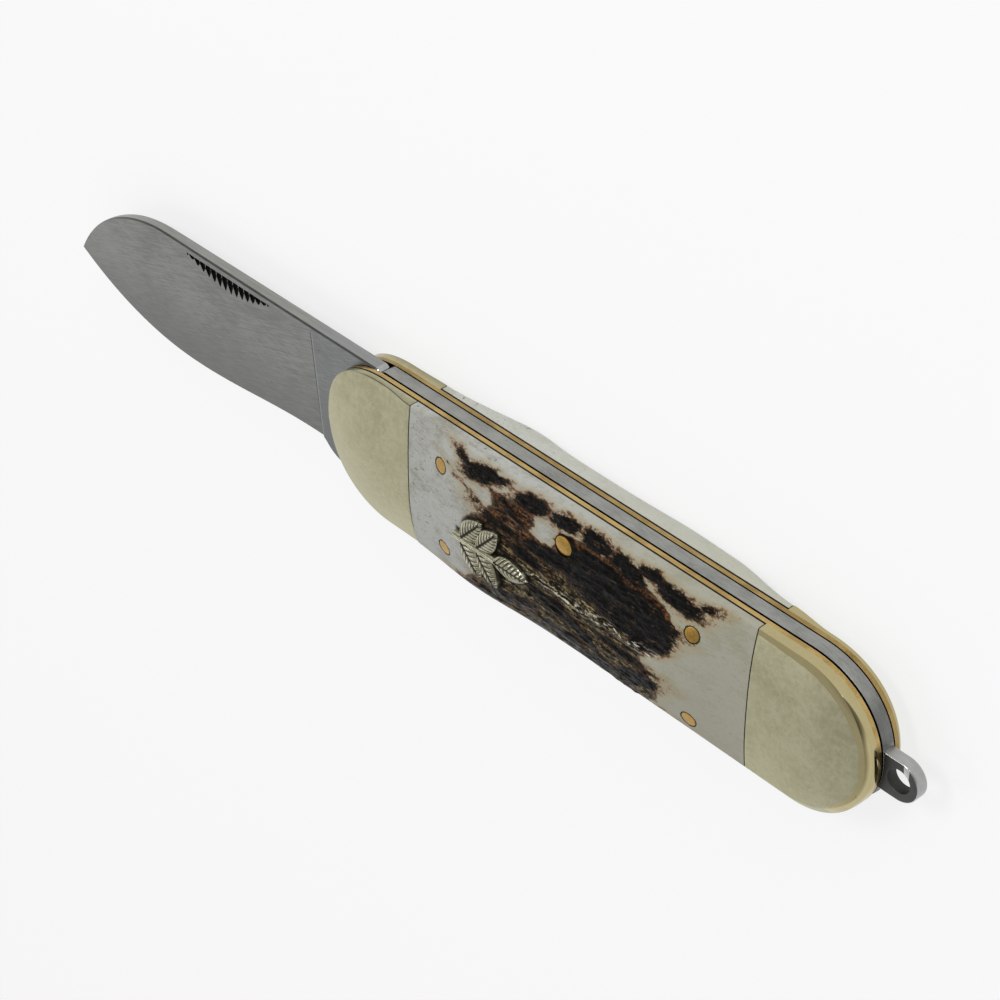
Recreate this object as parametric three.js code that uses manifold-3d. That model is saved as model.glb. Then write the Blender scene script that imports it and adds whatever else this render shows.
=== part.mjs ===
// Folding pocket knife with one blade on a slip-joint spring, lying open on its pile side.
// Millimetres, +Z up. The handle's own frame has x = 0 at the front joint of bolster and scale,
// y = 0 on the flat spine and z = 0 in the middle of its thickness. +x runs to the butt and its bail,
// and +z to the mark side, which carries the nail pull and the badge. Depths are measured down from
// the spine. The last lines move this frame so that the worn flat under the pile scale is the origin.
import * as THREE from 'three';
import { mergeVertices } from 'three/addons/utils/BufferGeometryUtils.js';
import Module from 'manifold-3d';

const wasm = await Module();
wasm.setup();

// Handle plan
const handleHeight = 21.8;
const scaleLength = 56.9;
const frontBolsterLength = 16.6;
const rearBolsterLength = 17.1;
const frontEndReach = 11.4;
const rearEndReach = 11.05;
const frontEndPowers = { spine: 2.6, belly: 2.1 };
const rearEndPowers = { spine: 2.15, belly: 1.86 };
const seamWidth = 0.1;

// Layers, from the middle out
const stockThickness = 2.0;
const wellClearance = 0.14;
const linerThickness = 0.6;
const frontBolsterCrown = 2.03;
const rearBolsterCrown = 2.24;
const scaleCrown = 3.45;
const wornDepth = 0.2;

// Upright rims between the liner and the crowned faces, thinner on the pile side
const rims = {
  mark: { front: 1.5, nose: 0.95, scale: 2.2, rear: 1.25, butt: 1.3 },
  pile: { front: 1.22, nose: 1.1, scale: 2.3, rear: 1.05, butt: 0.45 },
};
const bellyRim = 0.53;
const rearBellyCrease = 1.4;
const bellyBevelSlope = 0.8;
const bellyBevelFrom = 30;
const bellyBevelFull = 50;
const markBellySwells = [{ at: 11.5, reach: 8.5, height: 0.83 }];
const pileSpineSwells = [{ at: 15, reach: 4, height: 0.45 }, { at: 40, reach: 6, height: 0.28 }];
const domePower = 2.6;
const frontRise = 13;
const rearRise = 10;
const buttRounding = 0.8;
const buttRoundingRise = { mark: 1.9, pile: 1.0 };
const waviness = 0.12;
const waveInset = 3;

// Pivot and tang
const pivotFromNose = 10.1;
const pivotDepth = 13.0;
const pivotPinRadius = 1.25;
const tangFlat = 8.4;
const tangCorner = 6.2;
const shoulderFromPivot = 1.7;
const heelNotch = 1.2;
const kickCorner = { along: 1.15, down: 2.35 };
const kickEnd = { along: 4.5, down: 2.85 };
const bottomFlatFromPivot = 5.0;
const seatClearance = 0.1;
const shoulderClearance = 0.2;

// Blade
const bladeReach = 67.3;
const bladeDepth = 0.2;
const bladeWidth = 19.3;
const heelWidth = 17.25;
const heelFromPivot = 14.75;
const plungeLean = 1.75;
const tipDrop = 12.4;
const tipCurveLength = 21.8;
const bellyCurveLength = 24.6;
const tipFullness = 0.73;
const bellyFullness = 0.26;
const edgeThickness = 0.1;
const tipThinning = 0.3;
const thinningPower = 1.6;
const overlapIntoTang = 0.3;
const spineChamfer = 0.22;

// Nail pull, cut as a fan of struck grooves below a straight line
const pullStrokes = 14;
const pullFromPivot = 24.8;
const pullLength = 15.1;
const pullBelowSpine = 0.9;
const strokeLength = 2.3;
const strokeWidth = 0.86;
const strokeDepth = 0.24;
const strokeFlare = 1.5;
const strokeLid = 0.3;
const strokeEnd = 0.1;
const dotGap = 0.95;
const dotSize = 0.4;

// Backspring and bail
const edgeClearance = 0.4;
const tipClearance = 0.9;
const springEndDepth = 15.2;
const seatBeyondTang = 0.5;
const springSlopeLength = 6;
const bailDepth = 10.87;
const bailBeyondButt = 2.12;
const bailRadius = 2.7;
const bailHoleRadius = 1.55;
const bailThickness = 1.6;
const neckInside = 3;

// Pins
const pinClearance = 0.05;
const scalePinRadius = 1.05;
const scalePinFromFront = 6.75;
const scalePinFromRear = 7.9;
const scalePinDepth = 4.85;
const scalePinFromBelly = 4.0;
const centerPinAboveEdge = 1.8;
const centerShankRadius = 1.0;
const centerHeadRadius = 1.38;
const centerDome = 0.2;
const centerRoll = 0.3;
const pileHeadDepth = 0.05;
const rearPinRadius = 1.0;
const rearPinFromJoint = 8.6;
const rearPinDepth = 9.0;
const coverOverPin = 0.6;

// Badge, a leaf sprig set in a shallow bed in the mark scale
const badgeFromJoint = 10.6;
const badgeDepth = 12.6;
const badgeBed = 0.55;
const badgeThickness = 1.35;
const badgeClearance = 0.1;
const badgePinRadius = 0.5;
const badgePinSpacing = 6.0;
const stemLength = 7.2;
const stemWidth = 0.9;
const leafLength = 5.4;
const leafWidth = 2.7;
const leafPairs = 2;
const leafAngle = 0.85;

// Sizes that follow
const halfStock = stockThickness / 2;
const linerInner = halfStock + wellClearance;
const linerOuter = linerInner + linerThickness;
const halfHeight = handleHeight / 2;
const noseX = -frontBolsterLength;
const buttX = scaleLength + rearBolsterLength;
const frontCentreX = noseX + frontEndReach;
const rearCentreX = buttX - rearEndReach;
const pivotX = noseX + pivotFromNose;
const tipX = pivotX - bladeReach;
const heelX = pivotX - heelFromPivot;
const plungeBottomX = heelX + heelNotch;
const plungeTopX = plungeBottomX - plungeLean;
const shoulderX = pivotX - shoulderFromPivot;
const springDepth = 2 * pivotDepth - bladeDepth - bladeWidth - edgeClearance;
const restHeight = linerOuter + scaleCrown - wornDepth;
const endSteps = 22;
const roundSteps = 24;
const roomAbove = 3;

const paint = (color, metalness, roughness) => new THREE.MeshStandardMaterial({ color, metalness, roughness });
const steel = () => paint(0x8c8e8b, 1, 0.38);
const springSteel = () => paint(0x969894, 1, 0.3);
const nickelSilver = () => paint(0xb3ad8c, 1, 0.34);
const brass = () => paint(0xc29a52, 1, 0.35);
const bone = () => paint(0xb8b9ae, 0, 0.45);

// Solids
function signedVolume(position, index) {
  const [a, b, c] = [new THREE.Vector3(), new THREE.Vector3(), new THREE.Vector3()];
  let volume = 0;
  for (let i = 0; i < index.length; i += 3) {
    a.fromBufferAttribute(position, index[i]);
    b.fromBufferAttribute(position, index[i + 1]);
    c.fromBufferAttribute(position, index[i + 2]);
    volume += a.dot(b.cross(c)) / 6;
  }
  return volume;
}

function solid(geometry) {
  for (const name of Object.keys(geometry.attributes)) {
    if (name !== 'position') geometry.deleteAttribute(name);
  }
  const merged = mergeVertices(geometry, 1e-5);
  const corners = merged.index.array;
  const kept = [];
  for (let i = 0; i < corners.length; i += 3) {
    const [a, b, c] = [corners[i], corners[i + 1], corners[i + 2]];
    if (a !== b && b !== c && c !== a) kept.push(a, b, c);
  }
  const position = merged.getAttribute('position');
  if (signedVolume(position, kept) < 0) kept.reverse();
  return new wasm.Manifold(new wasm.Mesh({
    numProp: 3,
    vertProperties: new Float32Array(position.array),
    triVerts: new Uint32Array(kept),
  }));
}

function extrude(shape, low, high, curveSegments = roundSteps) {
  const geometry = new THREE.ExtrudeGeometry(shape, { depth: high - low, bevelEnabled: false, curveSegments });
  return solid(geometry.translate(0, 0, low));
}

function rod(radius, x, y, low, high) {
  const geometry = new THREE.CylinderGeometry(radius, radius, high - low, roundSteps);
  return solid(geometry.rotateX(Math.PI / 2).translate(x, y, (low + high) / 2));
}

// A closed skin through rings of equally many points, each end closed by a fan round its middle
function loft(rings) {
  const count = rings[0].length;
  const points = rings.flat();
  const index = [];
  for (let r = 0; r + 1 < rings.length; r += 1) {
    for (let i = 0; i < count; i += 1) {
      const next = (i + 1) % count;
      const [a, b] = [r * count + i, r * count + next];
      index.push(a, b, b + count, a, b + count, a + count);
    }
  }
  for (const [ring, first] of [[rings[0], 0], [rings.at(-1), (rings.length - 1) * count]]) {
    const middle = ring.reduce((sum, p) => sum.add(p), new THREE.Vector3()).divideScalar(count);
    for (let i = 0; i < count; i += 1) {
      const pair = [first + i, first + ((i + 1) % count)];
      index.push(points.length, ...(first ? pair : pair.reverse()));
    }
    points.push(middle);
  }
  const geometry = new THREE.BufferGeometry().setFromPoints(points);
  return solid(geometry.setIndex(index));
}

const group = new THREE.Group();
function addPiece(name, body, material) {
  const { vertProperties, triVerts } = body.getMesh();
  const geometry = new THREE.BufferGeometry();
  geometry.setAttribute('position', new THREE.BufferAttribute(vertProperties, 3));
  geometry.setIndex(new THREE.BufferAttribute(triVerts, 1));
  const mesh = new THREE.Mesh(geometry, material);
  mesh.name = name;
  group.add(mesh);
}

// Handle outline: a straight spine and belly joined by superelliptic ends
function endPoint(centreX, reach, powers, angle) {
  const power = Math.sin(angle) > 0 ? powers.spine : powers.belly;
  const bend = (value) => Math.sign(value) * Math.abs(value) ** (2 / power);
  return new THREE.Vector2(centreX + reach * bend(Math.cos(angle)), halfHeight * (bend(Math.sin(angle)) - 1));
}

function endArc(centreX, reach, powers, from, to) {
  const points = [];
  for (let i = 0; i <= endSteps; i += 1) {
    points.push(endPoint(centreX, reach, powers, from + ((to - from) * i) / endSteps));
  }
  return points;
}

function handleOutline(rearInset = 0) {
  const front = endArc(frontCentreX, frontEndReach, frontEndPowers, Math.PI / 2, (3 * Math.PI) / 2);
  const rear = endArc(rearCentreX, rearEndReach - rearInset, rearEndPowers, -Math.PI / 2, Math.PI / 2);
  return [...front, ...rear];
}

const handlePlate = (low, high) => extrude(new THREE.Shape(handleOutline()), low, high);

// How far a point lies inside the outline, and whether the spine (1), an end (0) or the belly (-1) is nearest
function edgeDistance(x, y) {
  const up = y + halfHeight;
  const atFront = x < frontCentreX;
  if (!atFront && x <= rearCentreX) return [halfHeight - Math.abs(up), Math.sign(up)];
  const along = atFront ? (frontCentreX - x) / frontEndReach : (x - rearCentreX) / rearEndReach;
  const across = Math.abs(up) / halfHeight;
  const powers = atFront ? frontEndPowers : rearEndPowers;
  const power = up > 0 ? powers.spine : powers.belly;
  const radial = (along ** power + across ** power) ** (1 / power);
  const turn = Math.atan2(across, along) / (Math.PI / 2);
  return [halfHeight * (1 - radial), Math.sign(up) * turn];
}

const blend = (a, b, t) => a + (b - a) * t;
const smooth = (t) => THREE.MathUtils.smoothstep(t, 0, 1);

// Height of the outer face over the middle plane. It rises from the rim to the crown of its piece, and
// towards the butt the belly's edge is bevelled, up to a crease.
function faceHeight(x, y, crown, spineRim, endRim, lowRim) {
  const [inside, nearest] = edgeDistance(x, y);
  const low = Math.sqrt(Math.max(0, -nearest));
  const bevelled = smooth((x - bellyBevelFrom) / (bellyBevelFull - bellyBevelFrom));
  const crease = blend(endRim, blend(lowRim, rearBellyCrease, bevelled), low);
  const rim = nearest > 0 ? blend(endRim, spineRim, nearest) : crease;
  const fall = Math.max(0, 1 - inside / halfHeight) ** domePower;
  const dome = crown - (crown - rim) * fall;
  const bevel = blend(endRim, lowRim, low) + bellyBevelSlope * inside;
  return linerOuter + (nearest < 0 ? Math.min(dome, bevel) : dome);
}

function frontFace(name) {
  const { front, nose } = rims[name];
  return (x, y) => {
    const spineRim = blend(front, nose, smooth(x / frontCentreX));
    return faceHeight(x, y, frontBolsterCrown, spineRim, nose, bellyRim);
  };
}

function rearFace(name) {
  const { rear, butt } = rims[name];
  return (x, y) => {
    const spineRim = blend(rear, butt, smooth((x - scaleLength) / (rearCentreX - scaleLength)));
    return faceHeight(x, y, rearBolsterCrown, spineRim, butt, bellyRim);
  };
}

function swelling(x, swells) {
  return swells.reduce((sum, { at, reach, height }) => sum + height * Math.exp(-(((x - at) / reach) ** 2)), 0);
}

// Stag keeps a little of its natural swelling, and the pile side is worn flat where it lies
function scaleFace(name) {
  const phase = { mark: 0.4, pile: 2.1 }[name];
  const spineSwells = { mark: [], pile: pileSpineSwells }[name];
  const bellySwells = { mark: markBellySwells, pile: [] }[name];
  const { front, rear, scale } = rims[name];
  return (x, y) => {
    const along = THREE.MathUtils.clamp(x / scaleLength, 0, 1);
    const rise = Math.min(smooth(x / frontRise), smooth((scaleLength - x) / rearRise));
    const crown = blend(blend(frontBolsterCrown, rearBolsterCrown, along), scaleCrown, rise);
    const spineRim = blend(blend(front, rear, along), scale, rise) + rise * swelling(x, spineSwells);
    const lowRim = bellyRim + swelling(x, bellySwells);
    const wave = Math.sin(x / 4.3 + phase) * Math.cos(y / 5 - phase) + Math.sin(x / 7.9 - y / 6 + phase);
    const inner = smooth(edgeDistance(x, y)[0] / waveInset);
    const height = faceHeight(x, y, crown, spineRim, spineRim, lowRim) + waviness * rise * inner * wave;
    return name === 'mark' ? height : Math.min(height, restHeight);
  };
}

// The space under an outer face between two stations along the handle, from a base level up
function faceForm(face, side, from, to, base, alongSteps, acrossSteps) {
  const margin = 1;
  const rings = [];
  for (let i = 0; i <= alongSteps; i += 1) {
    const x = blend(from, to, i / alongSteps);
    const ring = [new THREE.Vector3(x, -handleHeight - margin, side * base), new THREE.Vector3(x, margin, side * base)];
    for (let j = 0; j <= acrossSteps; j += 1) {
      const y = blend(margin, -handleHeight - margin, j / acrossSteps);
      ring.push(new THREE.Vector3(x, y, side * face(x, y)));
    }
    rings.push(ring);
  }
  return loft(rings);
}

function sidePlate(side) {
  const top = linerOuter + scaleCrown + roomAbove;
  return side > 0 ? handlePlate(linerOuter, top) : handlePlate(-top, -linerOuter);
}

const through = (body, ...cutters) => cutters.reduce((rest, cutter) => rest.subtract(cutter), body);

// Places of the pins
const scalePinPlaces = [scalePinFromFront, scaleLength - scalePinFromRear].flatMap((x) => [
  new THREE.Vector2(x, -scalePinDepth),
  new THREE.Vector2(x, -handleHeight + scalePinFromBelly),
]);
const pivot = new THREE.Vector2(pivotX, -pivotDepth);
const centerPlace = new THREE.Vector2(scaleLength / 2, -springDepth + centerPinAboveEdge);
const rearPinPlace = new THREE.Vector2(scaleLength + rearPinFromJoint, -rearPinDepth);
const tall = linerOuter + scaleCrown + roomAbove;
const hole = (place, radius, low = -tall, high = tall) => rod(radius + pinClearance, place.x, place.y, low, high);

// Blade: the outline of spine and edge, as drops below the handle's spine line
const arcDrop = (share, fullness) => (1 - Math.sqrt(1 - fullness * share ** 2)) / (1 - Math.sqrt(1 - fullness));

function bladeSpineY(x) {
  const share = THREE.MathUtils.clamp((tipX + tipCurveLength - x) / tipCurveLength, 0, 1);
  return -bladeDepth - tipDrop * arcDrop(share, tipFullness);
}

function bladeEdgeY(x) {
  const deepestX = tipX + bellyCurveLength;
  const deepestY = -bladeDepth - bladeWidth;
  if (x < deepestX) {
    const share = Math.min((deepestX - x) / bellyCurveLength, 1);
    return deepestY + (bladeWidth - tipDrop) * arcDrop(share, bellyFullness);
  }
  const share = Math.min((x - deepestX) / (heelX - deepestX), 1);
  const rise = ((bladeWidth - heelWidth) * (1 - Math.cos(Math.PI * share))) / 2;
  return deepestY + rise + Math.max(x - heelX, 0);
}

// The stock thins towards the tip, and the flat grind thins it further where the blade gets narrow
function spineHalfThickness(x) {
  const share = THREE.MathUtils.clamp((plungeTopX - x) / (plungeTopX - tipX), 0, 1);
  const ground = Math.min((bladeSpineY(x) - bladeEdgeY(x)) / heelWidth, 1);
  return halfStock * ground * (1 - tipThinning * share ** thinningPower);
}

function bladeHalfThickness(x, y) {
  const share = (y - bladeEdgeY(x)) / (bladeSpineY(x) - bladeEdgeY(x));
  return blend(edgeThickness / 2, spineHalfThickness(x), share);
}

function bladeRing(x) {
  const top = bladeSpineY(x);
  const bottom = bladeEdgeY(x);
  const chamfer = Math.min(spineChamfer, (top - bottom) / 4, spineHalfThickness(x) / 3);
  const side = top - chamfer;
  const wide = bladeHalfThickness(x, side);
  const half = [[top, wide - chamfer], [side, wide], [bottom, edgeThickness / 2]];
  const other = half.map(([y, z]) => [y, -z]).reverse();
  return [...half, ...other].map(([y, z]) => new THREE.Vector3(x, y, z));
}

function groundBlade() {
  const straightSteps = 12;
  const curvedSteps = 20;
  const rings = [bladeRing(plungeBottomX + overlapIntoTang)];
  for (let i = 0; i < straightSteps; i += 1) {
    rings.push(bladeRing(blend(heelX, tipX + tipCurveLength, i / straightSteps)));
  }
  for (let i = 0; i <= curvedSteps; i += 1) {
    const turn = (i / curvedSteps) * (Math.PI / 2) * 0.97;
    rings.push(bladeRing(tipX + tipCurveLength * (1 - Math.sin(turn))));
  }
  return loft(rings);
}

function tangShape() {
  const [right, top, bottom] = [pivotX + tangFlat, -pivotDepth + tangFlat, -pivotDepth - tangFlat];
  const kick = new THREE.Vector2(plungeBottomX, bladeEdgeY(plungeBottomX));
  const shape = new THREE.Shape();
  shape.moveTo(plungeTopX, -bladeDepth);
  shape.lineTo(kick.x, kick.y);
  const [corner, end] = [kickCorner, kickEnd];
  shape.quadraticCurveTo(kick.x + corner.along, kick.y - corner.down, kick.x + end.along, kick.y - end.down);
  shape.lineTo(pivotX - bottomFlatFromPivot, bottom);
  shape.lineTo(right - tangCorner, bottom);
  shape.absarc(right - tangCorner, bottom + tangCorner, tangCorner, -Math.PI / 2, 0, false);
  shape.lineTo(right, top - tangCorner);
  shape.absarc(right - tangCorner, top - tangCorner, tangCorner, 0, Math.PI / 2, false);
  shape.lineTo(shoulderX, top);
  shape.lineTo(shoulderX, -bladeDepth);
  return shape;
}

// A three-sided bar along the spine that takes off one of its corners
function chamferBar(side) {
  const [y, z, size] = [-bladeDepth, side * halfStock, spineChamfer];
  const beyond = 1;
  const section = [[y + beyond, z - side * (size + beyond)], [y - size - beyond, z + side * beyond],
    [y + beyond, z + side * beyond]];
  const ringAt = (x) => section.map(([sy, sz]) => new THREE.Vector3(x, sy, sz));
  return loft([ringAt(plungeTopX), ringAt(shoulderX + beyond)]);
}

// One struck groove, widest and deepest at its top and running out to a point
function stroke(x, length, width) {
  const top = -bladeDepth - pullBelowSpine;
  const ringAt = (y, share) => {
    const surface = bladeHalfThickness(x, y);
    const half = (width / 2) * share;
    const flare = half * strokeFlare;
    const section = [[-flare, surface + strokeLid], [flare, surface + strokeLid], [half, surface],
      [0, surface - strokeDepth * share], [-half, surface]];
    return section.map(([dx, z]) => new THREE.Vector3(x + dx, y, z));
  };
  return loft([ringAt(top, 1), ringAt(top - length, strokeEnd)]);
}

function nailPull() {
  const firstX = pivotX - pullFromPivot;
  const dots = [firstX + dotGap, firstX - pullLength - dotGap];
  const marks = dots.map((x) => stroke(x, dotSize, dotSize));
  for (let i = 0; i < pullStrokes; i += 1) {
    const share = (i + 0.9) / (pullStrokes + 0.8);
    const x = firstX - (pullLength * i) / (pullStrokes - 1);
    marks.push(stroke(x, strokeLength * Math.sin(Math.PI * share) ** 0.8, strokeWidth));
  }
  return marks;
}

const blade = through(
  groundBlade().add(extrude(tangShape(), -halfStock, halfStock)),
  chamferBar(1),
  chamferBar(-1),
  hole(pivot, pivotPinRadius),
  ...nailPull(),
);
addPiece('blade', blade, steel());

// Backspring: flush with the spine, clear of the folded blade, closed at the butt and ending in the bail
const closedEdgeY = (x) => -2 * pivotDepth - bladeEdgeY(2 * pivotX - x);
const springTipY = -pivotDepth + tangFlat + seatClearance;
const springTipX = shoulderX + shoulderClearance;
const closedTipX = 2 * pivotX - tipX;
const bladeStopX = closedTipX + tipClearance;
const seatEndX = pivotX + tangFlat + seatBeyondTang;

function springShape() {
  const shape = new THREE.Shape();
  const slopeEndX = seatEndX + springSlopeLength;
  shape.moveTo(springTipX, 0);
  shape.lineTo(springTipX, springTipY);
  shape.lineTo(seatEndX, springTipY);
  shape.quadraticCurveTo(seatEndX + springSlopeLength / 2, springTipY, slopeEndX, -springDepth);
  const steps = 14;
  const followX = closedTipX - bellyCurveLength;
  for (let i = 0; i <= steps; i += 1) {
    const x = blend(followX, closedTipX, i / steps);
    shape.lineTo(x, closedEdgeY(x) + edgeClearance);
  }
  shape.lineTo(bladeStopX, closedEdgeY(closedTipX) + edgeClearance);
  shape.lineTo(bladeStopX, -springEndDepth - 1);
  const butt = endArc(rearCentreX, rearEndReach, rearEndPowers, -Math.PI / 2, Math.PI / 2);
  for (const point of butt) {
    if (point.y > -springEndDepth) shape.lineTo(point.x, point.y);
  }
  return shape;
}

const bail = new THREE.Vector2(buttX + bailBeyondButt, -bailDepth);

function bailOutline() {
  const shape = new THREE.Shape();
  shape.moveTo(buttX - neckInside, bail.y + bailRadius);
  shape.lineTo(buttX - neckInside, bail.y - bailRadius);
  shape.absarc(bail.x, bail.y, bailRadius, -Math.PI / 2, Math.PI / 2, false);
  return shape;
}

const backspring = through(
  extrude(springShape(), -halfStock, halfStock, 8)
    .add(extrude(bailOutline(), -bailThickness / 2, bailThickness / 2, 14)),
  rod(bailHoleRadius, bail.x, bail.y, -tall, tall),
  hole(centerPlace, centerShankRadius),
  hole(rearPinPlace, rearPinRadius),
);
addPiece('backspring', backspring, springSteel());

// Badge: leaves in pairs along a stem with one leaf at its end, as one solid
function leaf(x, y, angle, length, width, grow, low, high) {
  const shape = new THREE.Shape();
  shape.moveTo(-grow, 0);
  shape.quadraticCurveTo(length * 0.4, width + 2 * grow, length + 2 * grow, 0);
  shape.quadraticCurveTo(length * 0.4, -width - 2 * grow, -grow, 0);
  const geometry = new THREE.ExtrudeGeometry(shape, { depth: high - low, bevelEnabled: false, curveSegments: 7 });
  return solid(geometry.rotateZ(angle).translate(x, y, low));
}

function sprig(grow, low, high) {
  const [stemX, stemY] = [badgeFromJoint, -badgeDepth];
  const stem = new THREE.Shape();
  stem.moveTo(stemX - grow, stemY - stemWidth / 2 - grow);
  stem.lineTo(stemX + stemLength + grow, stemY - stemWidth / 2 - grow);
  stem.lineTo(stemX + stemLength + grow, stemY + stemWidth / 2 + grow);
  stem.lineTo(stemX - grow, stemY + stemWidth / 2 + grow);
  let body = extrude(stem, low, high);
  body = body.add(leaf(stemX + stemLength - 0.6, stemY, 0, leafLength * 1.1, leafWidth, grow, low, high));
  for (let i = 0; i < leafPairs; i += 1) {
    const x = stemX + 1.2 + (i * (stemLength - 1.8)) / leafPairs;
    for (const way of [1, -1]) {
      body = body.add(leaf(x, stemY, way * leafAngle, leafLength, leafWidth, grow, low, high));
    }
  }
  return body;
}

const badgeFloor = linerOuter + scaleCrown - badgeBed;
addPiece('badge', sprig(0, badgeFloor, badgeFloor + badgeThickness), nickelSilver());

const badgePinPlaces = [0, 1].map((i) => new THREE.Vector2(badgeFromJoint + 1.2 + i * badgePinSpacing, -badgeDepth));
badgePinPlaces.forEach((place, i) => {
  const body = rod(badgePinRadius, place.x, place.y, linerOuter, badgeFloor);
  addPiece(`badge_pin_${['front', 'rear'][i]}`, body, nickelSilver());
});

// Both sides: liner, bolsters, scale and the pins that hold the scale
for (const [name, side] of [['mark', 1], ['pile', -1]]) {
  const [near, far] = side > 0 ? [linerInner, linerOuter] : [-linerOuter, -linerInner];
  const liner = through(
    handlePlate(near, far),
    hole(pivot, pivotPinRadius),
    hole(centerPlace, centerShankRadius),
    hole(rearPinPlace, rearPinRadius),
    ...scalePinPlaces.map((place) => hole(place, scalePinRadius)),
  );
  addPiece(`${name}_liner`, liner, brass());

  const plate = sidePlate(side);
  const blind = (place, radius, face) => {
    const depth = face(place.x, place.y) - coverOverPin;
    return side > 0 ? hole(place, radius, 0, depth) : hole(place, radius, -depth, 0);
  };
  const front = faceForm(frontFace(name), side, noseX - 1, -seamWidth / 2, linerOuter, 14, 18);
  const frontHole = blind(pivot, pivotPinRadius, frontFace(name));
  addPiece(`${name}_front_bolster`, front.intersect(plate).subtract(frontHole), nickelSilver());

  const rear = faceForm(rearFace(name), side, scaleLength + seamWidth / 2, buttX + 1, linerOuter, 14, 18);
  const rearHole = blind(rearPinPlace, rearPinRadius, rearFace(name));
  addPiece(`${name}_rear_bolster`, rear.intersect(roundedButt(name, side)).subtract(rearHole), nickelSilver());

  const face = scaleFace(name);
  const scaleForm = (base) => faceForm(face, side, seamWidth / 2, scaleLength - seamWidth / 2, base, 30, 14);
  const scaleCuts = [
    ...scalePinPlaces.map((place) => hole(place, scalePinRadius)),
    hole(centerPlace, centerHeadRadius),
  ];
  if (side > 0) {
    scaleCuts.push(sprig(badgeClearance, badgeFloor, tall));
    scaleCuts.push(...badgePinPlaces.map((place) => hole(place, badgePinRadius)));
  }
  addPiece(`${name}_scale`, through(scaleForm(linerOuter).intersect(plate), ...scaleCuts), bone());

  const pinForm = scaleForm(linerInner);
  const pinNames = ['front_upper', 'front_lower', 'rear_upper', 'rear_lower'];
  scalePinPlaces.forEach((place, i) => {
    const [low, high] = side > 0 ? [linerInner, tall] : [-tall, -linerInner];
    const body = rod(scalePinRadius, place.x, place.y, low, high).intersect(pinForm);
    addPiece(`${name}_pin_${pinNames[i]}`, body, brass());
  });
}

// The butt's side outline, drawn in step by step so that its rim rolls over to the face
function roundedButt(name, side) {
  const levels = 6;
  const rise = buttRoundingRise[name];
  const rings = [];
  const ringAt = (height, inset) => handleOutline(inset).map((p) => new THREE.Vector3(p.x, p.y, side * height));
  for (let i = 0; i <= levels; i += 1) {
    const turn = (i / levels) * (Math.PI / 2) * 0.9;
    const height = linerOuter + rise * Math.sin(turn);
    rings.push(ringAt(height, buttRounding * (1 - Math.cos(turn))));
  }
  rings.push(ringAt(tall, rearEndReach * 0.5));
  return loft(rings);
}

// Pins that run through the whole handle
function doubleEnded(shank, head, place, markTop, pileTop) {
  const profile = [
    [0, -pileTop],
    [head - centerRoll, -pileTop],
    [head, -pileTop + centerRoll],
    [head, -linerOuter],
    [shank, -linerOuter],
    [shank, linerOuter],
    [head, linerOuter],
    [head, markTop - centerRoll],
    [head * 0.8, markTop - centerRoll * 0.35],
    [head * 0.45, markTop - centerRoll * 0.08],
    [0, markTop],
  ].map(([radius, z]) => new THREE.Vector2(radius, z));
  const geometry = new THREE.LatheGeometry(profile, roundSteps);
  return solid(geometry.rotateX(Math.PI / 2).translate(place.x, place.y, 0));
}

const markCentreTop = scaleFace('mark')(centerPlace.x, centerPlace.y) + centerDome;
const pileCentreTop = scaleFace('pile')(centerPlace.x, centerPlace.y) - pileHeadDepth;
const centerPin = doubleEnded(centerShankRadius, centerHeadRadius, centerPlace, markCentreTop, pileCentreTop);
addPiece('center_pin', centerPin, brass());

for (const [name, place, radius, face] of [
  ['pivot_pin', pivot, pivotPinRadius, frontFace],
  ['rear_spring_pin', rearPinPlace, rearPinRadius, rearFace],
]) {
  const reach = (side) => face(side)(place.x, place.y) - coverOverPin;
  addPiece(name, rod(radius, place.x, place.y, -reach('pile'), reach('mark')), nickelSilver());
}

// The worn flat under the pile scale, at mid length and mid height, becomes the origin
group.position.set(-scaleLength / 2, halfHeight, restHeight);
const knife = new THREE.Group();
knife.add(group);

export default knife;
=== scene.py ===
# %% [markdown]
# A folding pocket knife, finished in Blender
#
# The knife lies open on its pile side, with the marked side up. Its solids come from the frame, and
# each visible solid gets a finer piece over it: crowned bolsters, carved stag, a ground blade. The
# frame fixes every size, so a piece here may be rounder or richer, but never larger.

# %% Load the frame
import math

import bpy
import numpy as np
from mathutils import Matrix, Vector, noise


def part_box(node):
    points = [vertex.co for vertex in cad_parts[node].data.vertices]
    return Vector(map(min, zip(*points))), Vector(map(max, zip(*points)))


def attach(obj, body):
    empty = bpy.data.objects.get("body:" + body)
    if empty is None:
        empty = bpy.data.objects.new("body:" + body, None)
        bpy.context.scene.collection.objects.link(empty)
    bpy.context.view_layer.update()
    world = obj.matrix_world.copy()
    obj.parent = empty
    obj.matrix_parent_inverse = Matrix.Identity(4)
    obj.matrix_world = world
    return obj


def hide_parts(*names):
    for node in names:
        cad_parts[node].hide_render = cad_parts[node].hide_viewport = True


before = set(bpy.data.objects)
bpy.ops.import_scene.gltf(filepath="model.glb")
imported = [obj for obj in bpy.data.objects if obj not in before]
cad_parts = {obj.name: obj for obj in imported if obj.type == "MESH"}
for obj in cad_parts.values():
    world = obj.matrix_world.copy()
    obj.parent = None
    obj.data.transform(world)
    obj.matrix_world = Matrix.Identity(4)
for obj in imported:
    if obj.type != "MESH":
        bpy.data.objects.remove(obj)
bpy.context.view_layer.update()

print("CAD nodes:", sorted(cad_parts))

# %% [markdown]
# Where things are
#
# A cutler measures a knife from its own lines, not from a table top: x from the joint of front bolster
# and scale towards the butt, y down from the flat spine, z out from the middle of the thickness. All
# shapes below are written in millimetres in that frame, and one function carries them to the scene.

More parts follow.
